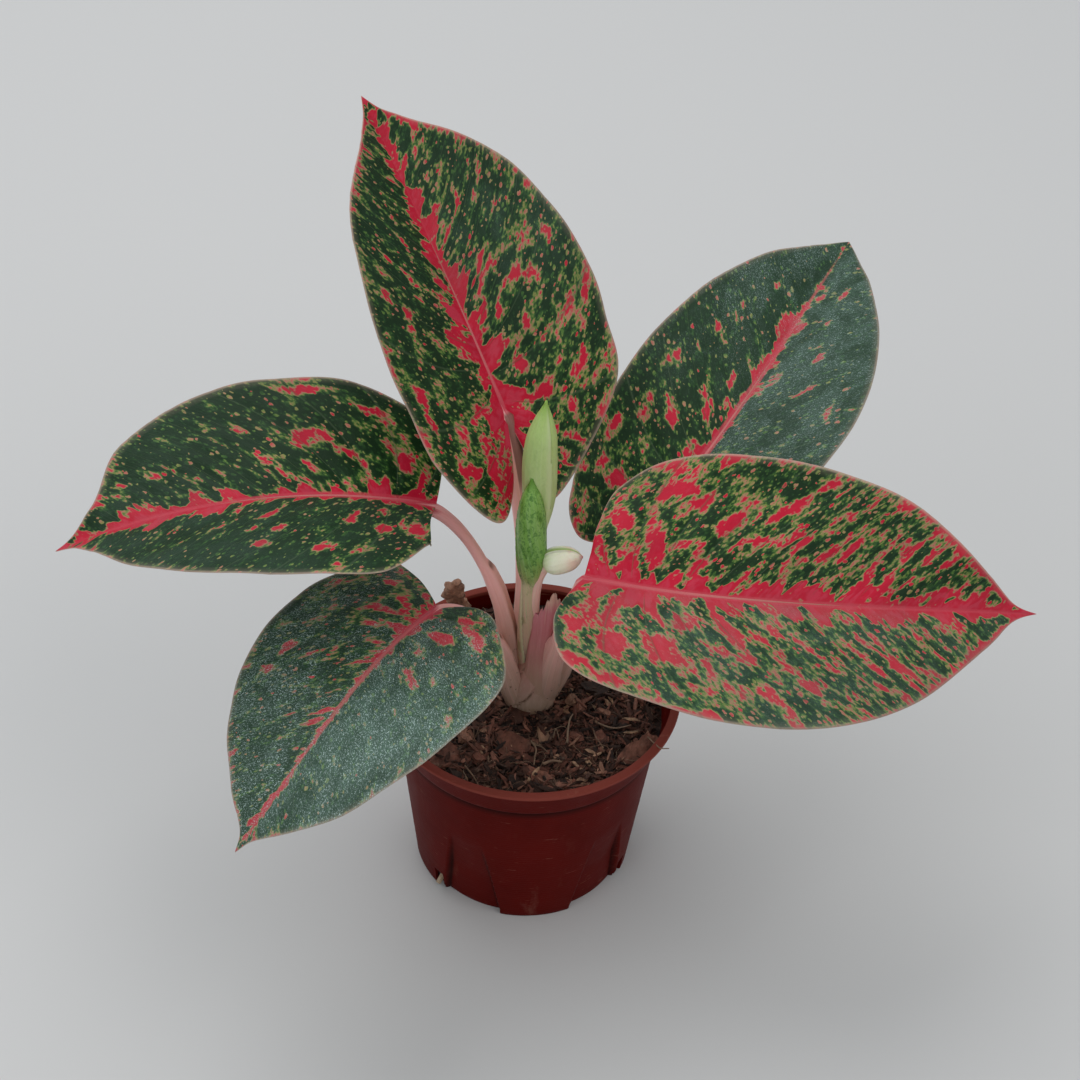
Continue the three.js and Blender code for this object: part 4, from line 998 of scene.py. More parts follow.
rollColors = {
    "young_leaf": {
        "stops": [(0.0, (0.60, 0.36, 0.26)), (0.3, (0.64, 0.42, 0.29)), (0.54, (0.58, 0.46, 0.28)),
                  (0.62, (0.27, 0.35, 0.09)), (0.7, (0.19, 0.38, 0.07)), (1.0, (0.26, 0.48, 0.10))],
        "streak": (0.42, 0.60, 0.26), "streakShare": 0.5,
        "edge": (0.62, 0.58, 0.34), "edgeShare": 0.85, "edgeSpan": [0.72, 0.6],
        "tip": (0.12, 0.28, 0.03), "tipFrom": 0.95, "mottle": 0.7, "crinkle": 0.8, "blush": 0,
    },
    "spathe": {
        "stops": [(0.0, (0.80, 0.50, 0.38)), (0.4, (0.74, 0.60, 0.36)), (0.52, (0.50, 0.60, 0.22)),
                  (0.72, (0.54, 0.68, 0.28)), (1.0, (0.50, 0.68, 0.20))],
        "streak": (0.64, 0.76, 0.38), "streakShare": 0.4,
        "edge": (0.66, 0.76, 0.40), "edgeShare": 0.7, "edgeSpan": [0.5, 0.6],
        "tip": (0.30, 0.50, 0.08), "tipFrom": 0.93, "mottle": 0.16, "crinkle": 0.1, "blush": 0,
    },
    "spathe_bud": {
        "stops": [(0.0, (0.78, 0.42, 0.33)), (0.44, (0.86, 0.50, 0.42)), (0.5, (0.78, 0.66, 0.46)),
                  (0.56, (0.72, 0.78, 0.46)), (0.66, (0.88, 0.88, 0.66)), (1.0, (0.90, 0.80, 0.62))],
        "streak": (0.94, 0.92, 0.76), "streakShare": 0.4,
        "edge": (0.30, 0.42, 0.10), "edgeShare": 0.9, "edgeSpan": [0.5, 0.6],
        "tip": (0.80, 0.26, 0.24), "tipFrom": 0.965, "mottle": 0.1, "crinkle": 0.05, "blush": 0.5,
    },
}
rollMesh = {"steps": 130, "sides": 72, "ribCount": 14, "ribHeight": 0.24}
rollLook = {
    # what the three have in common: noise scales per metre, and round and along the roll
    "streaks": (30.0, 4.0), "patches": 330, "crinkles": 900, "wander": 210,
    "dark": (0.5, 0.62, 0.42), "darker": (0.34, 0.5, 0.36), "blushColor": (0.86, 0.46, 0.36),
    "roughness": 0.4, "specular": 0.35, "through": (0.15, (0.002, 0.003, 0.001)), "relief": (0.00025, 0.9),
}


def makeShoot(name, spec, material):
    twist, seam = math.radians(spec["twist"]), math.radians(spec["seam"])
    parts = [(spec["points"], spec["radii"], spec["overlap"], (math.cos(seam), math.sin(seam), 0.0))]
    if "head" in spec:
        parts.append((spec["head"], spec["headRadii"], spec["headOverlap"], spec["headSeam"]))
    made, tags, turns = [], [], []
    for k, (line, radii, overlap, outward) in enumerate(parts):
        start = k / len(parts)   # how far up the whole shoot this part begins

        def radiusAt(t, angle):
            rolled = smoothstep(start + t / len(parts), *spec["rollFrom"])
            turn = np.mod(angle - twist * t, 2 * np.pi)
            edge = overlap * (turn / (2 * np.pi) - 0.5) * rolled
            fine = rollMesh["ribHeight"] * spec["ribs"] * np.sin(turn * rollMesh["ribCount"]) * rolled
            return catmullRom(np.array(radii)[:, None], t[..., 0])[..., 0][:, None] * (1 + edge + fine)

        route = centripetal(line, rollMesh["steps"])
        points, faces, tag = sweep(route, unit(np.array(outward, float)), radiusAt, rollMesh["sides"])
        made.append((points, faces))
        turns.append(np.mod(tag[:, 0] * 2 * np.pi - twist * tag[:, 1], 2 * np.pi) / (2 * np.pi))
        tags.append(np.stack([tag[:, 0], start + tag[:, 1] / len(parts)], -1))
    tags = np.concatenate(tags)
    return pieceFrom(name + "_roll", *joined(made), [material], None, {"roll": tags},
                     {"turn": np.concatenate(turns), "ahead": tags[:, 1]})


def rollPaint(name, c):
    material, tree, shader = newMaterial(name)
    k, at = rollLook, objectCoordinates(tree)
    ahead, turn = numberOf(tree, "ahead"), numberOf(tree, "turn")
    around = vectorOf(tree, X=times(tree, turn, k["streaks"][0]), Y=times(tree, ahead, k["streaks"][1]))
    streak = noiseOf(tree, around, 1, 3, 0.6)
    patches = noiseOf(tree, stretched(tree, at, (1, 1, 0.35)), k["patches"], 3, 0.6)
    crinkles = noiseOf(tree, stretched(tree, at, (1, 1, 0.6)), k["crinkles"], 3, 0.65, 1.0)
    wander = noiseOf(tree, at, k["wander"], 2, 0.5)
    place = timesPlus(tree, streak, 0.1, calc(tree, "SUBTRACT", ahead, 0.085))
    paint = colorRamp(tree, timesPlus(tree, wander, 0.07, place), c["stops"])
    paint = tint(tree, paint, streak, (0.45, 0.75), c["streakShare"], c["streak"])
    paint = tint(tree, paint, patches, (0.5, 0.64), c["mottle"], shaded(tree, paint, k["dark"]))
    wrinkled = times(tree, spread(tree, crinkles, 0.5, 0.6, 0, c["crinkle"]), spread(tree, ahead, 0.5, 0.6))
    paint = blendColor(tree, wrinkled, paint, shaded(tree, paint, k["darker"]))
    blush = times(tree, spread(tree, wander, 0.45, 0.62), spread(tree, ahead, 0.78, 0.92, 0, c["blush"]))
    paint = blendColor(tree, blush, paint, k["blushColor"])
    edge = times(tree, spread(tree, turn, 0.92, 0.975), spread(tree, ahead, *c["edgeSpan"]))
    paint = glaze(tree, paint, edge, c["edgeShare"], c["edge"])
    paint = tint(tree, paint, ahead, (c["tipFrom"], 1.0), 0.85, c["tip"])
    height = timesPlus(tree, patches, 0.4, timesPlus(tree, crinkles, -c["crinkle"], streak))
    finishSkin(tree, shader, paint, k["roughness"], k["specular"], k["through"], height, k["relief"])
    return material


# swollen base that the stalks grow out of

stemBase = {
    "heights": [66, 70, 73, 76, 80, 85, 90, 96],
    "radii": [7.4, 7.8, 8.2, 8.3, 7.9, 6.8, 5.2, 2.6],
    "flat": 0.92,
    "edges": 4,                # overlapping sheaths round it
    "firstEdge": 0.62,         # share of a turn
    "lean": 0.016,             # share of a turn that an edge leans over for each mm
    "step": 0.9,
    "sides": 96,
    "rings": 60,
}
baseLook = {
    "stops": [(0.0, (0.26, 0.15, 0.09)), (0.16, (0.50, 0.34, 0.245)), (0.5, (0.56, 0.35, 0.27)),
              (1.0, (0.58, 0.29, 0.235))],
    "span": (0.070, 0.092),    # heights of the first and the last stop, in metres
    "streak": 620, "cloud": 170, "grit": 420, "spots": 520,
    "pale": (0.66, 0.47, 0.36), "tan": (0.36, 0.22, 0.12), "dirt": (0.13, 0.065, 0.03),
    "spot": (0.07, 0.03, 0.02),
    "roughness": 0.5, "specular": 0.25, "through": (0.1, (0.003, 0.0018, 0.0012)), "relief": (0.00025, 0.8),
}


def makeBase(material):
    s = stemBase
    levels = np.linspace(s["heights"][0], s["heights"][-1], s["rings"])
    radii = np.interp(levels, s["heights"], s["radii"])
    z, turn = np.meshgrid(levels, np.arange(s["sides"]) / s["sides"], indexing="ij")
    saw = np.mod((turn - s["firstEdge"] - s["lean"] * (z - soil["level"])) * s["edges"], 1)
    lip = saw * (1 - smoothstep(saw, 0.93, 1.0))
    radius = radii[:, None] + s["step"] * (lip - 0.5)
    angle = 2 * np.pi * turn
    x, y = stalk["axis"][0] + radius * np.cos(angle), stalk["axis"][1] + s["flat"] * radius * np.sin(angle)
    ends = [[*stalk["axis"], levels[0]], [*stalk["axis"], levels[-1] + 0.5]]
    points = np.concatenate([np.stack([x, y, z], -1).reshape(-1, 3), ends])
    groove = np.append(swell(np.minimum(saw, 1 - saw), 0, 0.07).ravel(), [0, 0])
    return pieceFrom("stem_base", points, closedTube(s["rings"], s["sides"]), [material], None, None,
                     {"groove": groove})


def basePaint():
    material, tree, shader = newMaterial("baseSkin")
    k, at = baseLook, objectCoordinates(tree)
    streak = noiseOf(tree, stretched(tree, at, (1, 1, 0.18)), k["streak"], 4, 0.6)
    paint = colorRamp(tree, spread(tree, partsOf(tree, at)[2], *k["span"]), k["stops"])
    paint = tint(tree, paint, streak, (0.45, 0.7), 0.4, k["pale"])
    paint = tint(tree, paint, noiseOf(tree, at, k["cloud"], 3, 0.6), (0.5, 0.7), 0.35, k["tan"])
    grit = spread(tree, noiseOf(tree, at, k["grit"], 3, 0.7), 0.42, 0.62)
    paint = glaze(tree, paint, times(tree, numberOf(tree, "groove"), grit), 0.85, k["dirt"])
    paint = tint(tree, paint, noiseOf(tree, at, k["spots"], 3, 0.6), (0.66, 0.71), 0.9, k["spot"])
    finishSkin(tree, shader, paint, k["roughness"], k["specular"], k["through"], streak, k["relief"])
    return material


# torn sheath round the flower stalks

sheath = {
    "foot": [2.2, 2.2, 72],
    "top": [4.8, 1.2, 131],
    "radii": [7.4, 7.0, 6.2, 5.6, 5.2],
    "thickness": 0.6,
    "middleTurn": -35,
    "halfAngle": 105,
    "tornDepth": [0, 4, 8, 11, 13, 15, 18],
    "peak": 0.37,              # share of the way round where it stands highest
    "columns": 64,
    "rows": 44,
}
sheathLook = {
    "stops": [(0.0, (0.56, 0.38, 0.27)), (0.25, (0.58, 0.35, 0.25)), (0.45, (0.56, 0.24, 0.20)),
              (0.65, (0.62, 0.20, 0.21)), (0.85, (0.60, 0.20, 0.22)), (0.93, (0.66, 0.40, 0.31))],
    "streak": (34, 4, 1), "pale": (0.74, 0.42, 0.36), "roughness": 0.55, "relief": (0.0004, 0.9),
}


def makeSheath(material):
    s = sheath
    foot, top = np.array(s["foot"], float), np.array(s["top"], float)
    across = np.linspace(0, 1, s["columns"] + 1)[None, :]
    share = np.linspace(0, 1, s["rows"] + 1)[:, None]
    torn = profileAt(s["tornDepth"], np.abs(across - s["peak"]) * 1.8)
    torn = torn + 0.8 * np.sin(across * 71) + 0.5 * np.sin(across * 173)
    t = share * (1 - torn / (top[2] - foot[2]))
    turn = np.radians(s["middleTurn"] + s["halfAngle"] * (2 * across - 1))
    crumple = 0.25 * np.sin(across * 40) + 0.3 * np.sin(t * 17 + across * 9)
    radius = (profileAt(s["radii"], t) + crumple * share)[..., None]
    centre = mix(foot, top, t[..., None])
    out = np.stack([np.cos(turn), np.sin(turn), 0 * turn], -1)
    layers = [centre + out * (radius - depth) for depth in (0, s["thickness"])]
    points = np.concatenate([layer.reshape(-1, 3) for layer in layers])
    outer = np.arange(t.size).reshape(t.shape)
    inside, outside = bothSides(outer + t.size, outer)
    faces = outside + inside
    rim = np.concatenate([outer[0], outer[1:, -1], outer[-1, -2::-1], outer[-2:0:-1, 0]]).tolist()
    for a, b in zip(rim, rim[1:] + rim[:1]):
        faces.append((b, a, a + t.size, b + t.size))
    tags = np.stack([np.broadcast_to(across, t.shape), t], -1).reshape(-1, 2)
    return pieceFrom("sheath_torn", points, faces, [material], None, {"flat": np.concatenate([tags, tags])})


def sheathPaint():
    material, tree, shader = newMaterial("drySheath")
    k, flat = sheathLook, uvOf(tree, "flat")
    streak = noiseOf(tree, stretched(tree, flat, k["streak"]), 1, 4, 0.65)
    at = timesPlus(tree, streak, 0.25, calc(tree, "SUBTRACT", partsOf(tree, flat)[1], 0.12))
    paint = tint(tree, colorRamp(tree, at, k["stops"]), streak, (0.5, 0.75), 0.45, k["pale"])
    finishSkin(tree, shader, paint, k["roughness"], None, None, streak, k["relief"])
    return material


# pot

pot = {
    "height": 80.5,
    "rimRadius": 55,
    "footRadius": 40,
    "wall": 1.2,
    "floor": 1.5,
    "lipDepth": 1.6,
    "lipOverhang": 2,
    "edge": 0.4,
    "footEdge": 0.6,
    "collarDepth": 15,
    "collarStep": 0.9,
    "collarFootRadius": 47.8,
    "panels": 5,
    "firstPanelTurn": -117,
    "panelHalfAngle": 17,
    "panelDepth": 2.5,
    "panelTop": 40,
    "panelTopShare": 0.46,
    "panelFade": 1.9,
    "panelEdge": 0.035,
    "slotAngle": 3.4,
    "slotHeight": 9,
    "slotReach": 6.5,
    "slotClear": 3.5,
    "ripple": (0.05, 1.9),     # faint rings of the moulding: height, and radians per mm
    "columns": 480,
}
potLook = {
    "deep": (0.090, 0.0036, 0.0020), "fair": (0.118, 0.0052, 0.0030),
    # lip: the rim's top painted lighter, a painted highlight
    "lip": (0.42, 0.11, 0.080), "lipHighlightShare": 0.48, "lipHighlightFrom": (0.0785, 0.0797),
    "dust": (0.26, 0.12, 0.085), "dustShare": 0.3, "scuff": (0.4, 0.16, 0.11),
    "shade": (0.012, 0.002, 0.0015),
    "specular": 0.045, "relief": (0.00012, 0.6),
}


def panelShare(turn, z):
    # how far a place is inside a recessed panel, and how deep the panel is at that height
    p = pot
    pitch = 360 / p["panels"]
    offset = np.mod(turn - p["firstPanelTurn"] + pitch / 2, pitch) - pitch / 2
    taper = np.clip((p["panelTop"] - z) / p["panelTop"], 0, 1)
    halfAngle = p["panelHalfAngle"] * mix(p["panelTopShare"], 1, taper)
    inside = smoothstep((1 + p["panelEdge"] - np.abs(offset) / halfAngle) / (2 * p["panelEdge"]))
    return inside, np.minimum(1, p["panelFade"] * taper)


def potRadius(turn, z):
    p = pot
    stepHeight = p["height"] - p["collarDepth"]
    below = mix(p["footRadius"], p["collarFootRadius"], np.minimum(z / stepHeight, 1))
    along = np.clip((z - stepHeight) / (p["collarDepth"] - p["lipDepth"]), 0, 1)
    collar = mix(p["collarFootRadius"] + p["collarStep"], p["rimRadius"] - p["lipOverhang"], along)
    step = smoothstep((z - stepHeight) / (2 * p["edge"]) + 0.5)
    inside, depth = panelShare(turn, z)
    return mix(below, collar, step) - p["panelDepth"] * depth * inside


def creaseAt(turn, z):
    # shade gathers at the foot of each panel's edge and under the collar
    inside, depth = panelShare(turn, z)
    beside = sum(panelShare(turn + shift, z)[0] for shift in (-1.8, -0.9, 0.9, 1.8)) / 4
    underCollar = swell(pot["height"] - pot["collarDepth"] - 0.9 - z, 0, 0.7)
    return np.clip(inside * (1 - beside) * 2.4 * depth + underCollar, 0, 1)


def makePot(material):
    p = pot
    turn = np.linspace(0, 360, p["columns"], endpoint=False)
    top, lipBottom, e = p["height"], p["height"] - p["lipDepth"], p["edge"]
    stepHeight = top - p["collarDepth"]
    levels = [*np.linspace(p["footEdge"], p["panelTop"], 22), *np.linspace(43, stepHeight - 1, 7),
              *np.linspace(stepHeight - e, stepHeight + e, 5), *np.linspace(stepHeight + 1.5, lipBottom, 6)]
    height, rate = p["ripple"]
    foot = potRadius(turn, 0.0)
    rings = [(foot - p["footEdge"], 0.0), (foot - 0.18, 0.18)]
    rings += [(potRadius(turn, z) + height * math.sin(z * rate), z) for z in levels]
    crease = [creaseAt(turn, z) for _, z in rings]
    outer, inner = p["rimRadius"] - e, p["rimRadius"] - p["lipOverhang"] - p["wall"] + e
    # the lip's three rounded edges, then down the inside to the floor
    for radius, z, angles in ((outer, lipBottom + e, (-90, -60, -30, 0)), (outer, top - e, (0, 30, 60, 90)),
                              (inner, top - e, (90, 125, 160, 180))):
        rings += [(radius + e * math.cos(a), z + e * math.sin(a)) for a in np.radians(angles)]
    rings += [(potRadius(turn, z) - p["wall"], z) for z in levels[::-1] if z > p["floor"] + 0.5]
    rings.append((potRadius(turn, p["floor"]) - p["wall"], p["floor"]))
    crease += [turn * 0] * (len(rings) - len(crease))
    layers = [ring(radius, np.radians(turn), z) for radius, z in rings]
    points = np.concatenate([*layers, [[0, 0, 0], [0, 0, p["floor"]]]])
    piece = pieceFrom("nursery_pot", points, closedTube(len(rings), p["columns"]), [material], None, None,
                      {"crease": np.concatenate([*crease, [0, 0]])})
    cutSlots(piece)
    return piece


def cutSlots(piece):
    # one drain slot beside each recessed panel, by turns on its left and right
    p = pot
    mesh = bmesh.new()
    width = 2 * p["footRadius"] * math.sin(math.radians(p["slotAngle"]))
    reach = p["footRadius"] + (p["slotClear"] - p["slotReach"]) / 2
    for panel in range(p["panels"]):
        side = -1 if panel % 2 == 0 else 1
        beside = side * (p["panelHalfAngle"] + p["slotAngle"])
        turn = math.radians(p["firstPanelTurn"] + panel * 360 / p["panels"] + beside)
        for vertex in bmesh.ops.create_cube(mesh, size=1)["verts"]:
            x, y = reach + vertex.co.x * (p["slotReach"] + p["slotClear"]), vertex.co.y * width
            z = vertex.co.z * 2 * p["slotHeight"]
            vertex.co = (mm * (x * math.cos(turn) - y * math.sin(turn)),
                         mm * (x * math.sin(turn) + y * math.cos(turn)), mm * z)
    cutter = bpy.data.meshes.new("slots")
    mesh.to_mesh(cutter)
    mesh.free()
    tool = addObject("slots", cutter)
    cut = piece.modifiers.new("slots", "BOOLEAN")
    cut.operation, cut.solver, cut.object = "DIFFERENCE", "EXACT", tool
    bakeModifiers(piece)
    bpy.data.objects.remove(tool)


def potPlastic():
    material, tree, shader = newMaterial("potPlastic")
    k, at = potLook, objectCoordinates(tree)
    height = partsOf(tree, at)[2]
    paint = colorRamp(tree, noiseOf(tree, at, 38, 4, 0.6), [(0.3, k["deep"]), (0.7, k["fair"])])
    # painted highlight: the rim's top painted lighter
    paint = glaze(tree, paint, spread(tree, height, *k["lipHighlightFrom"]), k["lipHighlightShare"], k["lip"])
    smear = noiseOf(tree, stretched(tree, at, (1, 1, 0.4)), 95, 5, 0.7)
    dusty = times(tree, spread(tree, smear, 0.56, 0.74), spread(tree, height, 0.03, 0.0, 0.25, 1.0))
    paint = glaze(tree, paint, dusty, k["dustShare"], k["dust"])
    scuff = noiseOf(tree, stretched(tree, at, (1, 1, 7)), 120, 3, 0.6)
    paint = tint(tree, paint, scuff, (0.66, 0.74), 0.3, k["scuff"])
    paint = glaze(tree, paint, numberOf(tree, "crease"), 0.85, k["shade"])
    rings = addNode(tree, "ShaderNodeTexWave", {"wave_type": "BANDS", "bands_direction": "Z"}, Vector=at,
                    Scale=260.0, Distortion=1.5, Detail=2.0).outputs[1]
    rough = timesPlus(tree, smear, 0.3, 0.36)
    skin = timesPlus(tree, rings, 0.25, noiseOf(tree, at, 900, 3, 0.6))
    finishSkin(tree, shader, paint, rough, k["specular"], None, skin, k["relief"])
    return material


# soil, bark and fibres

soil = {
    "level": 73,
    "backRise": 4,
    "riseSpan": 80,
    "relief": 0.8,
    "wallDip": 0.6,
    "gap": 0.35,
    "rings": 64,
    "columns": 220,
    "clumps": 0.78,
    "clumpSizes": [(0.55, 1.0), (1.25, 0.5), (2.6, 0.25)],   # radians per mm, and share
}
# length, width, thickness; x, y; lean and heading in degrees; tone from dark to pale
namedChips = [
    ([14, 10.5, 1.8], [-5.3, -22], [8, 5, -12], 0.74),
    ([21, 8.5, 2], [39, -23.5], [22, -12, 52], 0.86),
    ([13, 12, 1.8], [-29.5, -29], [6, 8, 24], 0.72),
    ([6, 6.5, 3], [-21.9, -19.5], [16, 20, 30], 0.93),
    ([4, 4.5, 2.4], [-17, -29.3], [20, 10, 60], 0.82),
    ([11.5, 5, 1.6], [24.5, 8.5], [4, 6, 4], 0.14),
    ([5.4, 4.2, 3], [15.6, 2], [30, 20, 80], 0.95),
    ([3.6, 3, 2.6], [18.6, -1.6], [10, 40, 20], 0.92),
    ([14, 4, 1.5], [17.1, -38], [-8, 6, 8], 0.9),
    ([3.4, 1.6, 1.4], [22.2, -28.2], [10, 20, -50], 1.0),
    ([5.5, 2, 1.6], [27.5, -3.5], [0, 12, -18], 0.93),
    ([11, 4.5, 1.6], [4.5, -36], [12, 4, -24], 0.84),
    ([9, 6, 1.6], [30, 20], [8, -10, 40], 0.7),
    ([10, 5, 2], [-18, 30], [12, 6, 120], 0.78),
    ([12, 6, 1.8], [8, 36], [10, 8, -20], 0.66),
    ([8, 6, 1.8], [-36, 8], [4, 18, 70], 0.8),
]
litter = {
    # name: count, seed, length range in mm, width and thickness as shares of it, how proud it lies
    "flakes": (210, 5, (4.0, 10.0), (0.5, 0.16), 0.3),
    "bark": (560, 8, (2.5, 6.0), (0.5, 0.26), 0.4),
    "splinters": (1500, 17, (2.5, 8.5), (0.17, 0.11), 1.6),
    "crumbs": (2600, 13, (0.8, 2.4), (0.8, 0.5), 0.35),
}
fibres = {"count": 430, "seed": 21, "length": (5.0, 15.0), "radius": 0.13}
# single roots that lie on the soil: radius, tone, then the points they pass through
namedRoots = [
    (0.42, 0.97, [[14.6, -20.3, 73.2], [14.6, -16.1, 75.5], [15.2, -10.9, 75.8], [16.2, -7.4, 74.9]]),
    (0.36, 0.9, [[25.1, -8.8, 72.6], [28.4, -10.9, 73], [31.9, -12.1, 73.6], [34.8, -11.4, 73.7],
                 [37.4, -9.5, 73]]),
    (0.32, 0.86, [[43.4, -17.5, 75.3], [45.7, -25.1, 79.9], [47.7, -28.2, 81.1], [50.6, -27.9, 80.9]]),
    (0.34, 0.8, [[-21.5, -34.1, 73.4], [-18.7, -38.7, 73.9], [-16.8, -42.3, 73.8], [-15.6, -44, 72.6]]),
    (0.62, 0.86, [[6.2, -31.4, 73.4], [9.4, -29.6, 73.4], [12.9, -29.1, 72.6]]),
    (0.34, 0.93, [[1.5, -19.6, 72.6], [3.5, -24.3, 73.6], [3.2, -28, 73.8], [3, -31.6, 73]]),
    (0.3, 0.9, [[2.3, -21.4, 72.4], [5.2, -23.1, 73.7], [7.8, -25, 72.7]]),
    (0.28, 0.92, [[9.4, -17.3, 72.3], [10.3, -14.7, 74.2], [11.9, -19, 72.7]]),
    (0.28, 0.7, [[23.7, -11.9, 72.6], [24.8, -17.2, 73.6], [26.7, -20.9, 73.8], [27.9, -23.4, 72.4]]),
    (0.3, 0.8, [[-13.5, -27.9, 72.7], [-13, -32.2, 73.8], [-12, -30.4, 73.1]]),
]
uprightChip = {
    "line": [[-26.6, 38.6, 73], [-27.6, 37.8, 80], [-29, 36.8, 88], [-30.2, 36, 95.6]],
    "face": (0.35, -0.9, 0.2),
    "width": [4.4, 4.5, 4.0, 3.6, 3.9, 3.3],
    "flat": 0.42,
    "tone": 0.945,
}
scatterArea = {"radii": (9, 46.5), "rings": 24, "columns": 72, "middle": (0.6, 4)}
bitShape = {
    "tilt": (0.5, 0.5),        # most that it leans, in radians
    "width": (0.6, 1.3),       # random factors on the shares that litter gives
    "thickness": (0.6, 1.4),
    "noise": (520.0, 1.0),     # scale and detail of what chips it
    "push": 0.0022,
    "reach": 0.0492,           # how far from the axis it may come, in metres
}
fibreShape = {
    "start": (-0.5, 0, -0.08), "middle": (0.0, 0.28, 0.3), "end": (0.5, 0, -0.08), "steps": 9, "sides": 4,
    "tilt": (0.9, 0.35), "noise": (190.0, 2.0), "push": 0.006, "reach": 0.0488,
}


def soilHeight(x, y):
    back = np.clip((y - x) / soil["riseSpan"], -0.4, 1)
    waves = np.sin(x * 0.21 + 1) * np.cos(y * 0.17) + 0.6 * np.sin(x * 0.47 - y * 0.39)
    return soil["level"] + soil["backRise"] * back + soil["relief"] * waves


def clumps(x, y):
    # crumbly relief, from sums of crossed waves
    value = 0
    for size, share in soil["clumpSizes"]:
        crossed = np.sin(y * size * 1.1 + 1.7 * np.sin(x * size * 0.6))
        value = value + share * np.sin(x * size + 2.1 * np.sin(y * size * 0.7)) * crossed
    return soil["clumps"] * value


def makeSoil(material):
    s = soil
    turn = np.linspace(0, 360, s["columns"], endpoint=False)
    angle = np.radians(turn)
    clear, floor = pot["wall"] + s["gap"], pot["floor"] + s["gap"]
    rings = [ring(potRadius(turn, float(z)) - clear, angle, z) for z in (floor, 20, 40, 60, 68)]
    for share in np.linspace(1, 0.02, s["rings"]):
        made = ring((potRadius(turn, s["level"]) - clear) * share, angle, 0)
        x, y = made[:, 0], made[:, 1]
        made[:, 2] = soilHeight(x, y) - s["wallDip"] * smoothstep(share, 0.9, 1) + clumps(x, y) - 0.6
        rings.append(made)
    points = np.concatenate([*rings, [[0, 0, floor], [0, 0, soilHeight(0, 0)]]])
    return pieceFrom("potting_mix", points, closedTube(len(rings), s["columns"]), [material])


def newScatter(name, sizes):
    # a node group with named inputs, that begins with points spread over the given surface
    tree = bpy.data.node_groups.new(name, "GeometryNodeTree")
    face = tree.interface
    face.new_socket("Geometry", in_out="INPUT", socket_type="NodeSocketGeometry")
    for title in ("Density", "Seed", *sizes):
        kind = "NodeSocketInt" if title == "Seed" else "NodeSocketFloat"
        face.new_socket(title, in_out="INPUT", socket_type=kind)
    face.new_socket("Geometry", in_out="OUTPUT", socket_type="NodeSocketGeometry")
    given = tree.nodes.new("NodeGroupInput").outputs
    points = addNode(tree, "GeometryNodeDistributePointsOnFaces", {"distribute_method": "RANDOM"},
                     Mesh=given["Geometry"], Density=given["Density"], Seed=given["Seed"])
    return tree, given, points.outputs["Points"]


def randomNumber(tree, low, high, seed, shift):
    changed = addNode(tree, "FunctionNodeIntegerMath", {"operation": "ADD"}, i0=seed, i1=shift).outputs[0]
    made = addNode(tree, "FunctionNodeRandomValue", {"data_type": "FLOAT"}, i2=low, i3=high, Seed=changed)
    return made.outputs[1]


def randomTurn(tree, tilt, lean, seed):
    # any heading, and up to so much tilt and lean to either side
    return addNode(tree, "FunctionNodeRandomValue", {"data_type": "FLOAT_VECTOR"}, i0=(-tilt, -lean, 0.0),
                   i1=(tilt, lean, 2 * math.pi), Seed=seed).outputs[0]


def realWithTone(tree, instances, seed):
    tone = addNode(tree, "GeometryNodeStoreNamedAttribute", {"data_type": "FLOAT", "domain": "INSTANCE"},
                   Geometry=instances, Name="tone", Value=randomNumber(tree, 0.0, 1.0, seed, 4))
    return addNode(tree, "GeometryNodeRealizeInstances", Geometry=tone.outputs[0]).outputs[0]


def jostled(tree, geometry, scale, detail, amount):
    # moves its points about by a noise
    position = addNode(tree, "GeometryNodeInputPosition").outputs[0]
    noise = addNode(tree, "ShaderNodeTexNoise", {"noise_dimensions": "3D"}, Vector=position, Scale=scale,
                    Detail=detail).outputs["Color"]
    push = scaled(tree, vectorCalc(tree, "SUBTRACT", noise, (0.5, 0.5, 0.5)), amount)
    return addNode(tree, "GeometryNodeSetPosition", Geometry=geometry, Offset=push).outputs[0]


def heldInside(tree, geometry, limit):
    # draws in sideways what would reach through the pot's wall
    position = addNode(tree, "GeometryNodeInputPosition").outputs[0]
    level = vectorCalc(tree, "MULTIPLY", position, (1, 1, 0))
    reach = addNode(tree, "ShaderNodeVectorMath", {"operation": "LENGTH"}, i0=level).outputs["Value"]
    over = calc(tree, "MAXIMUM", calc(tree, "SUBTRACT", reach, limit), 0.0)
    share = calc(tree, "DIVIDE", over, calc(tree, "MAXIMUM", reach, 0.001))
    back = scaled(tree, level, times(tree, share, -1.0))
    return addNode(tree, "GeometryNodeSetPosition", Geometry=geometry, Offset=back).outputs[0]


def closeTree(tree, geometry, material):
    painted = addNode(tree, "GeometryNodeSetMaterial", Geometry=geometry, Material=material)
    tree.links.new(painted.outputs[0], tree.nodes.new("NodeGroupOutput").inputs[0])
    return tree


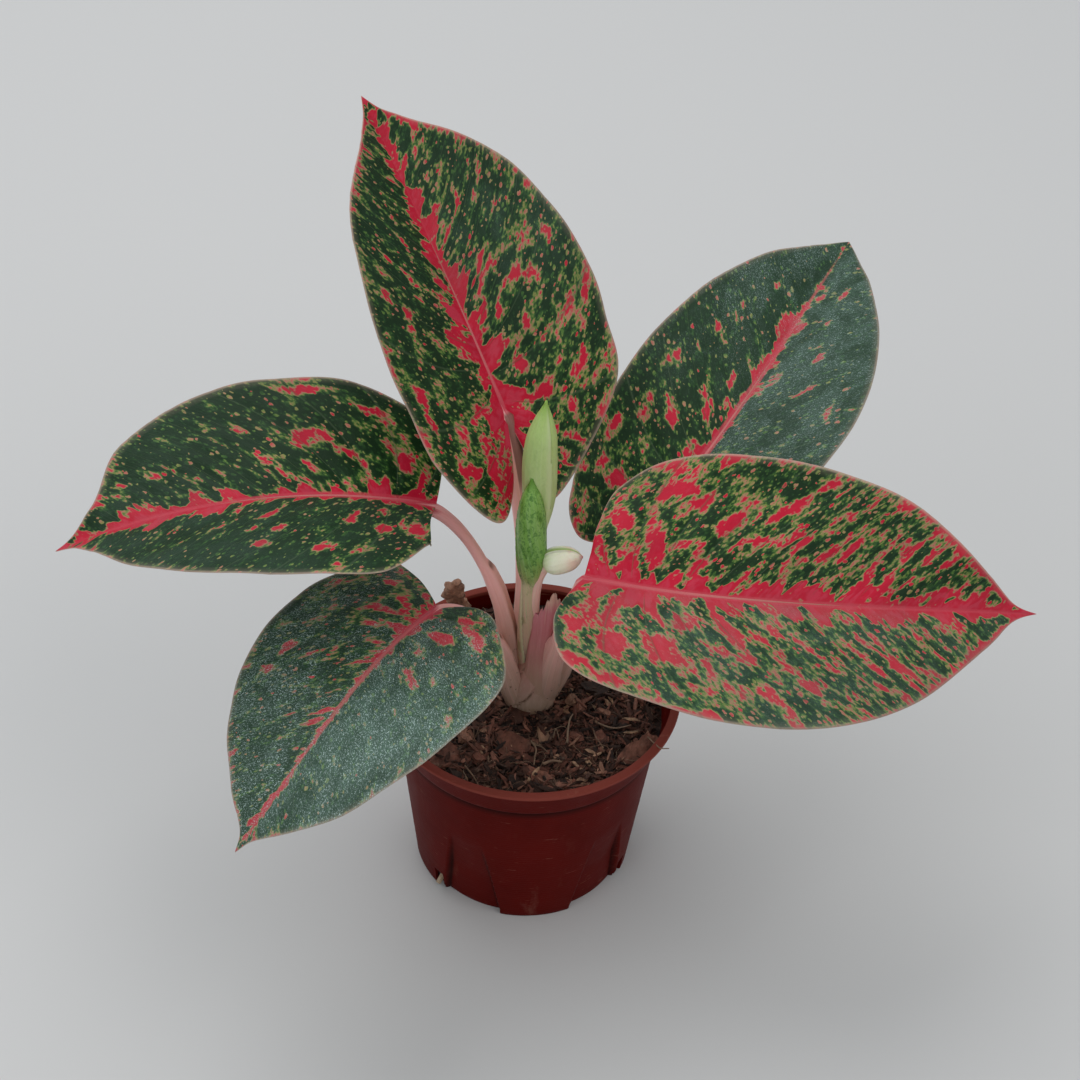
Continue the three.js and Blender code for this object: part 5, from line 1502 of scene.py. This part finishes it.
def barkTree(material):
    # bits scattered over a surface: flattened, tumbled, chipped, and sunk a little
    sizes = ("Shortest", "Longest", "Width Share", "Thickness Share", "Proud")
    tree, given, points = newScatter("litter", sizes)
    s, seed = bitShape, given["Seed"]
    bit = addNode(tree, "GeometryNodeMeshIcoSphere", Radius=0.5, Subdivisions=1).outputs["Mesh"]
    length = randomNumber(tree, given["Shortest"], given["Longest"], seed, 1)
    wide = times(tree, length, given["Width Share"])
    wide = times(tree, wide, randomNumber(tree, *s["width"], seed, 2))
    thick = times(tree, length, given["Thickness Share"])
    thick = times(tree, thick, randomNumber(tree, *s["thickness"], seed, 3))
    size = vectorOf(tree, X=length, Y=wide, Z=thick)
    put = addNode(tree, "GeometryNodeInstanceOnPoints", Points=points, Instance=bit, Scale=size,
                  Rotation=randomTurn(tree, *s["tilt"], seed))
    lifted = addNode(tree, "GeometryNodeTranslateInstances", Instances=put.outputs[0], Local_Space=False,
                     Translation=vectorOf(tree, Z=times(tree, thick, given["Proud"])))
    rough = jostled(tree, realWithTone(tree, lifted.outputs[0], seed), *s["noise"], s["push"])
    sharp = addNode(tree, "GeometryNodeSetShadeSmooth", Geometry=heldInside(tree, rough, s["reach"]),
                    Shade_Smooth=False)
    return closeTree(tree, sharp.outputs[0], material)


def fibreTree(material):
    # thin roots that arch over the soil
    tree, given, points = newScatter("fibres", ("Shortest", "Longest", "Radius"))
    s, seed = fibreShape, given["Seed"]
    arch = addNode(tree, "GeometryNodeCurveQuadraticBezier", Resolution=s["steps"], Start=s["start"],
                   Middle=s["middle"], End=s["end"]).outputs[0]
    length = randomNumber(tree, given["Shortest"], given["Longest"], seed, 1)
    size = vectorOf(tree, X=length, Y=length, Z=length)
    put = addNode(tree, "GeometryNodeInstanceOnPoints", Points=points, Instance=arch, Scale=size,
                  Rotation=randomTurn(tree, *s["tilt"], seed))
    bent = jostled(tree, realWithTone(tree, put.outputs[0], seed), *s["noise"], s["push"])
    profile = addNode(tree, "GeometryNodeCurvePrimitiveCircle", Resolution=s["sides"],
                      Radius=given["Radius"])
    tube = addNode(tree, "GeometryNodeCurveToMesh", Curve=heldInside(tree, bent, s["reach"]),
                   Profile_Curve=profile.outputs[0], Fill_Caps=True)
    return closeTree(tree, tube.outputs[0], material)


def soilSurface():
    # the top of the soil alone, a little inside the wall and clear of the crown, to scatter on
    s = scatterArea
    angle = np.linspace(0, 2 * np.pi, s["columns"], endpoint=False)
    points = []
    for radius in np.linspace(*s["radii"], s["rings"]):
        shift = 1 - radius / s["radii"][1]
        made = ring(radius, angle, 0, (s["middle"][0] * shift, s["middle"][1] * shift))
        made[:, 2] = soilHeight(made[:, 0], made[:, 1]) + clumps(made[:, 0], made[:, 1]) - 0.7
        points.append(made)
    faces = [face[::-1] for face in tubeFaces(s["rings"], s["columns"])]
    return meshOf("soilSurface", np.concatenate(points), faces)


def scatter(name, tree, values, material):
    mesh = soilSurface()
    area = sum(face.area for face in mesh.polygons)
    mesh.materials.append(material)
    piece = addObject(name, mesh)
    modifier = piece.modifiers.new("scatter", "NODES")
    modifier.node_group = tree
    sockets = {s.name: s.identifier for s in tree.interface.items_tree if s.in_out == "INPUT"}
    for key, value in values.items():
        modifier[sockets[key]] = value / area if key == "Density" else value
    bakeModifiers(piece)
    declare(piece, "soil")


def tonedPiece(name, parts, material, smooth=True):
    # parts: points, faces and tone of each
    tones = np.concatenate([np.full(len(points), tone) for points, _, tone in parts])
    points, faces = joined([part[:2] for part in parts])
    return pieceFrom(name, points, faces, [material], None, None, {"tone": tones}, smooth)


def makeLitter(material, fibreMaterial):
    tree = barkTree(material)
    for name, (count, seed, lengths, shares, proud) in litter.items():
        scatter(name, tree, {
            "Density": float(count), "Seed": seed, "Shortest": lengths[0] * mm, "Longest": lengths[1] * mm,
            "Width Share": shares[0], "Thickness Share": shares[1], "Proud": proud}, material)
    scatter("root_fibres", fibreTree(fibreMaterial), {
        "Density": float(fibres["count"]), "Seed": fibres["seed"], "Shortest": fibres["length"][0] * mm,
        "Longest": fibres["length"][1] * mm, "Radius": fibres["radius"] * mm}, fibreMaterial)
    parts = []
    for radius, tone, line in namedRoots:
        points, faces, _ = sweep(centripetal(line, 24), np.array([0.1, 0.2, 1.0]),
                                 lambda t, angle: radius * (1 - 0.45 * t) + 0 * angle, 8)
        parts.append((points, faces, tone))
    declare(tonedPiece("loose_roots", parts, fibreMaterial), "soil")


def turnedBy(degrees):
    # turns about x, then y, then z
    turn = np.eye(3)
    for axis, angle in enumerate(np.radians(degrees)):
        a, b = (axis + 1) % 3, (axis + 2) % 3
        step = np.eye(3)
        step[a, a] = step[b, b] = math.cos(angle)
        step[b, a], step[a, b] = math.sin(angle), -math.sin(angle)
        turn = step @ turn
    return turn


def chipPoints(size, place, tilt, seed):
    # a block of bark with broken edges and a layered face
    mesh = bmesh.new()
    bmesh.ops.create_cube(mesh, size=1)
    bmesh.ops.subdivide_edges(mesh, edges=mesh.edges[:], cuts=7, use_grid_fill=True)
    x, y, z = np.array([v.co[:] for v in mesh.verts]).T
    faces = [[v.index for v in f.verts] for f in mesh.faces]
    mesh.free()
    angle = np.arctan2(y, x)
    rim = 1 - 0.16 * (np.abs(np.cos(2 * angle)) < 0.5) + 0.09 * np.sin(3 * angle + seed)
    rim = rim + 0.06 * np.sin(7 * angle + 2 * seed)
    flake = 0.12 * np.sin(x * 9 + seed) * np.sin(y * 7 + 2 * seed) + 0.07 * np.sin(x * 23 + y * 17 + seed)
    steps = 0.1 * np.round(2.2 * np.sin(y * 5 + x * 2 + seed))
    deep = z * (0.85 + flake + steps) + 0.12 * x * x
    points = np.stack([x * rim, y * rim * (1 + 0.1 * np.sin(x * 8 + seed)), deep], -1)
    points = points * np.array(size) * 0.92
    return points @ turnedBy(tilt).T + np.array(place), faces


def uprightRadius(t, angle):
    # knobbly, and flat from front to back
    ridges = 0.16 * np.sin(17 * t + 2 * np.sin(2 * angle)) + 0.1 * np.sin(41 * t + 3 * angle)
    wide = profileAt(uprightChip["width"], t) * (1 + ridges)
    oval = np.sqrt(np.sin(angle) ** 2 + (uprightChip["flat"] * np.cos(angle)) ** 2)
    return wide * oval + 0.35 * np.sin(3 * angle + 9 * t)


def makeChips(material):
    parts = []
    for k, (size, (x, y), tilt, tone) in enumerate(namedChips):
        points, faces = chipPoints(size, (x, y, soilHeight(x, y) + 0.25 * size[2]), tilt, k + 1.0)
        parts.append((points, faces, tone))
    declare(tonedPiece("bark_plates", parts, material, False), "soil")
    u = uprightChip
    points, faces, _ = sweep(centripetal(u["line"], 26), np.array(u["face"]), uprightRadius, 18)
    declare(tonedPiece("upright_bark", [(points, faces, u["tone"])], material, False), "bark_chip")


soilLook = {
    "stops": [(0.3, (0.008, 0.005, 0.004)), (0.5, (0.028, 0.013, 0.009)), (0.62, (0.085, 0.036, 0.022)),
              (0.75, (0.17, 0.085, 0.05))],
    "crumbs": 260, "roughness": 0.85, "relief": (0.0012, 1.0),
}
barkLook = {
    # by tone
    "stops": [(0.0, (0.022, 0.011, 0.007)), (0.3, (0.050, 0.021, 0.013)), (0.55, (0.095, 0.036, 0.022)),
              (0.8, (0.185, 0.070, 0.045)), (0.92, (0.28, 0.125, 0.085)), (0.99, (0.46, 0.29, 0.18))],
    "grain": 420, "grainShade": [(0.3, (0.42, 0.4, 0.38)), (0.7, (1.7, 1.65, 1.6))],
    "patches": 160, "pale": (0.32, 0.20, 0.14), "roughness": 0.78, "relief": (0.0006, 1.0),
}
fibreLook = {
    "stops": [(0.0, (0.06, 0.03, 0.02)), (0.55, (0.13, 0.065, 0.04)), (0.8, (0.3, 0.18, 0.11)),
              (1.0, (0.5, 0.36, 0.24))],
    "mottle": [(0.3, (0.05, 0.025, 0.015)), (0.7, (0.3, 0.18, 0.11))], "roughness": 0.7,
}
crownLook = {
    "stops": [(0.35, (0.30, 0.19, 0.11)), (0.65, (0.58, 0.46, 0.31))],
    "blush": (0.6, 0.33, 0.27), "blushSpan": (0.06, 0.08), "roughness": 0.6, "relief": (0.0004, 0.8),
}


def soilPaint():
    material, tree, shader = newMaterial("pottingMix")
    k = soilLook
    crumbs = noiseOf(tree, objectCoordinates(tree), k["crumbs"], 5, 0.7)
    paint = colorRamp(tree, crumbs, k["stops"])
    finishSkin(tree, shader, paint, k["roughness"], None, None, crumbs, k["relief"])
    return material


def barkPaint():
    material, tree, shader = newMaterial("brokenBark")
    k, at = barkLook, objectCoordinates(tree)
    paint = colorRamp(tree, numberOf(tree, "tone"), k["stops"])
    grain = noiseOf(tree, stretched(tree, at, (1, 0.35, 1.6)), k["grain"], 5, 0.7)
    paint = shaded(tree, paint, colorRamp(tree, grain, k["grainShade"]))
    paint = tint(tree, paint, noiseOf(tree, at, k["patches"], 3, 0.6), (0.6, 0.72), 0.45, k["pale"])
    finishSkin(tree, shader, paint, k["roughness"], None, None, grain, k["relief"])
    return material


def fibrePaint():
    material, tree, shader = newMaterial("rootFibre")
    k = fibreLook
    mottle = colorRamp(tree, noiseOf(tree, objectCoordinates(tree), 300, 2), k["mottle"])
    paint = blendColor(tree, 0.5, colorRamp(tree, numberOf(tree, "tone"), k["stops"]), mottle)
    finishSkin(tree, shader, paint, k["roughness"])
    return material


def crownPaint():
    material, tree, shader = newMaterial("crownSkin")
    k, at = crownLook, objectCoordinates(tree)
    cloud = noiseOf(tree, stretched(tree, at, (1, 1, 0.4)), 300, 4, 0.65)
    height = partsOf(tree, at)[2]
    paint = tint(tree, colorRamp(tree, cloud, k["stops"]), height, k["blushSpan"], 0.7, k["blush"])
    finishSkin(tree, shader, paint, k["roughness"], None, None, cloud, k["relief"])
    return material


# put together

makeStage()
makeCamera()
print("stage and camera")

underside = undersidePaint()
stalkSkin = stalkPaint()
for name, leaf in leaves.items():
    top = leafPaint(name.replace("leaf_", "leafPaint_"), leaf)
    declare(makeLeaf(name, leaf, [top, underside, stalkSkin]), name)
    print(name)

for name, spec in shoots.items():
    skin = rollPaint(name.replace("_", "") + "Skin", rollColors[name])
    declare(makeShoot(name, spec, skin), name)
declare(makeBase(basePaint()))
declare(makeSheath(sheathPaint()), "torn_sheath")
print("shoots and sheath")

declare(makePot(potPlastic()), "pot")
print("pot")

bark = barkPaint()
declare(makeSoil(soilPaint()), "soil")
makeLitter(bark, fibrePaint())
makeChips(bark)
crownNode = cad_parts["crown"]
crownNode.data.materials.clear()
crownNode.data.materials.append(crownPaint())
print("soil, bark and crown")
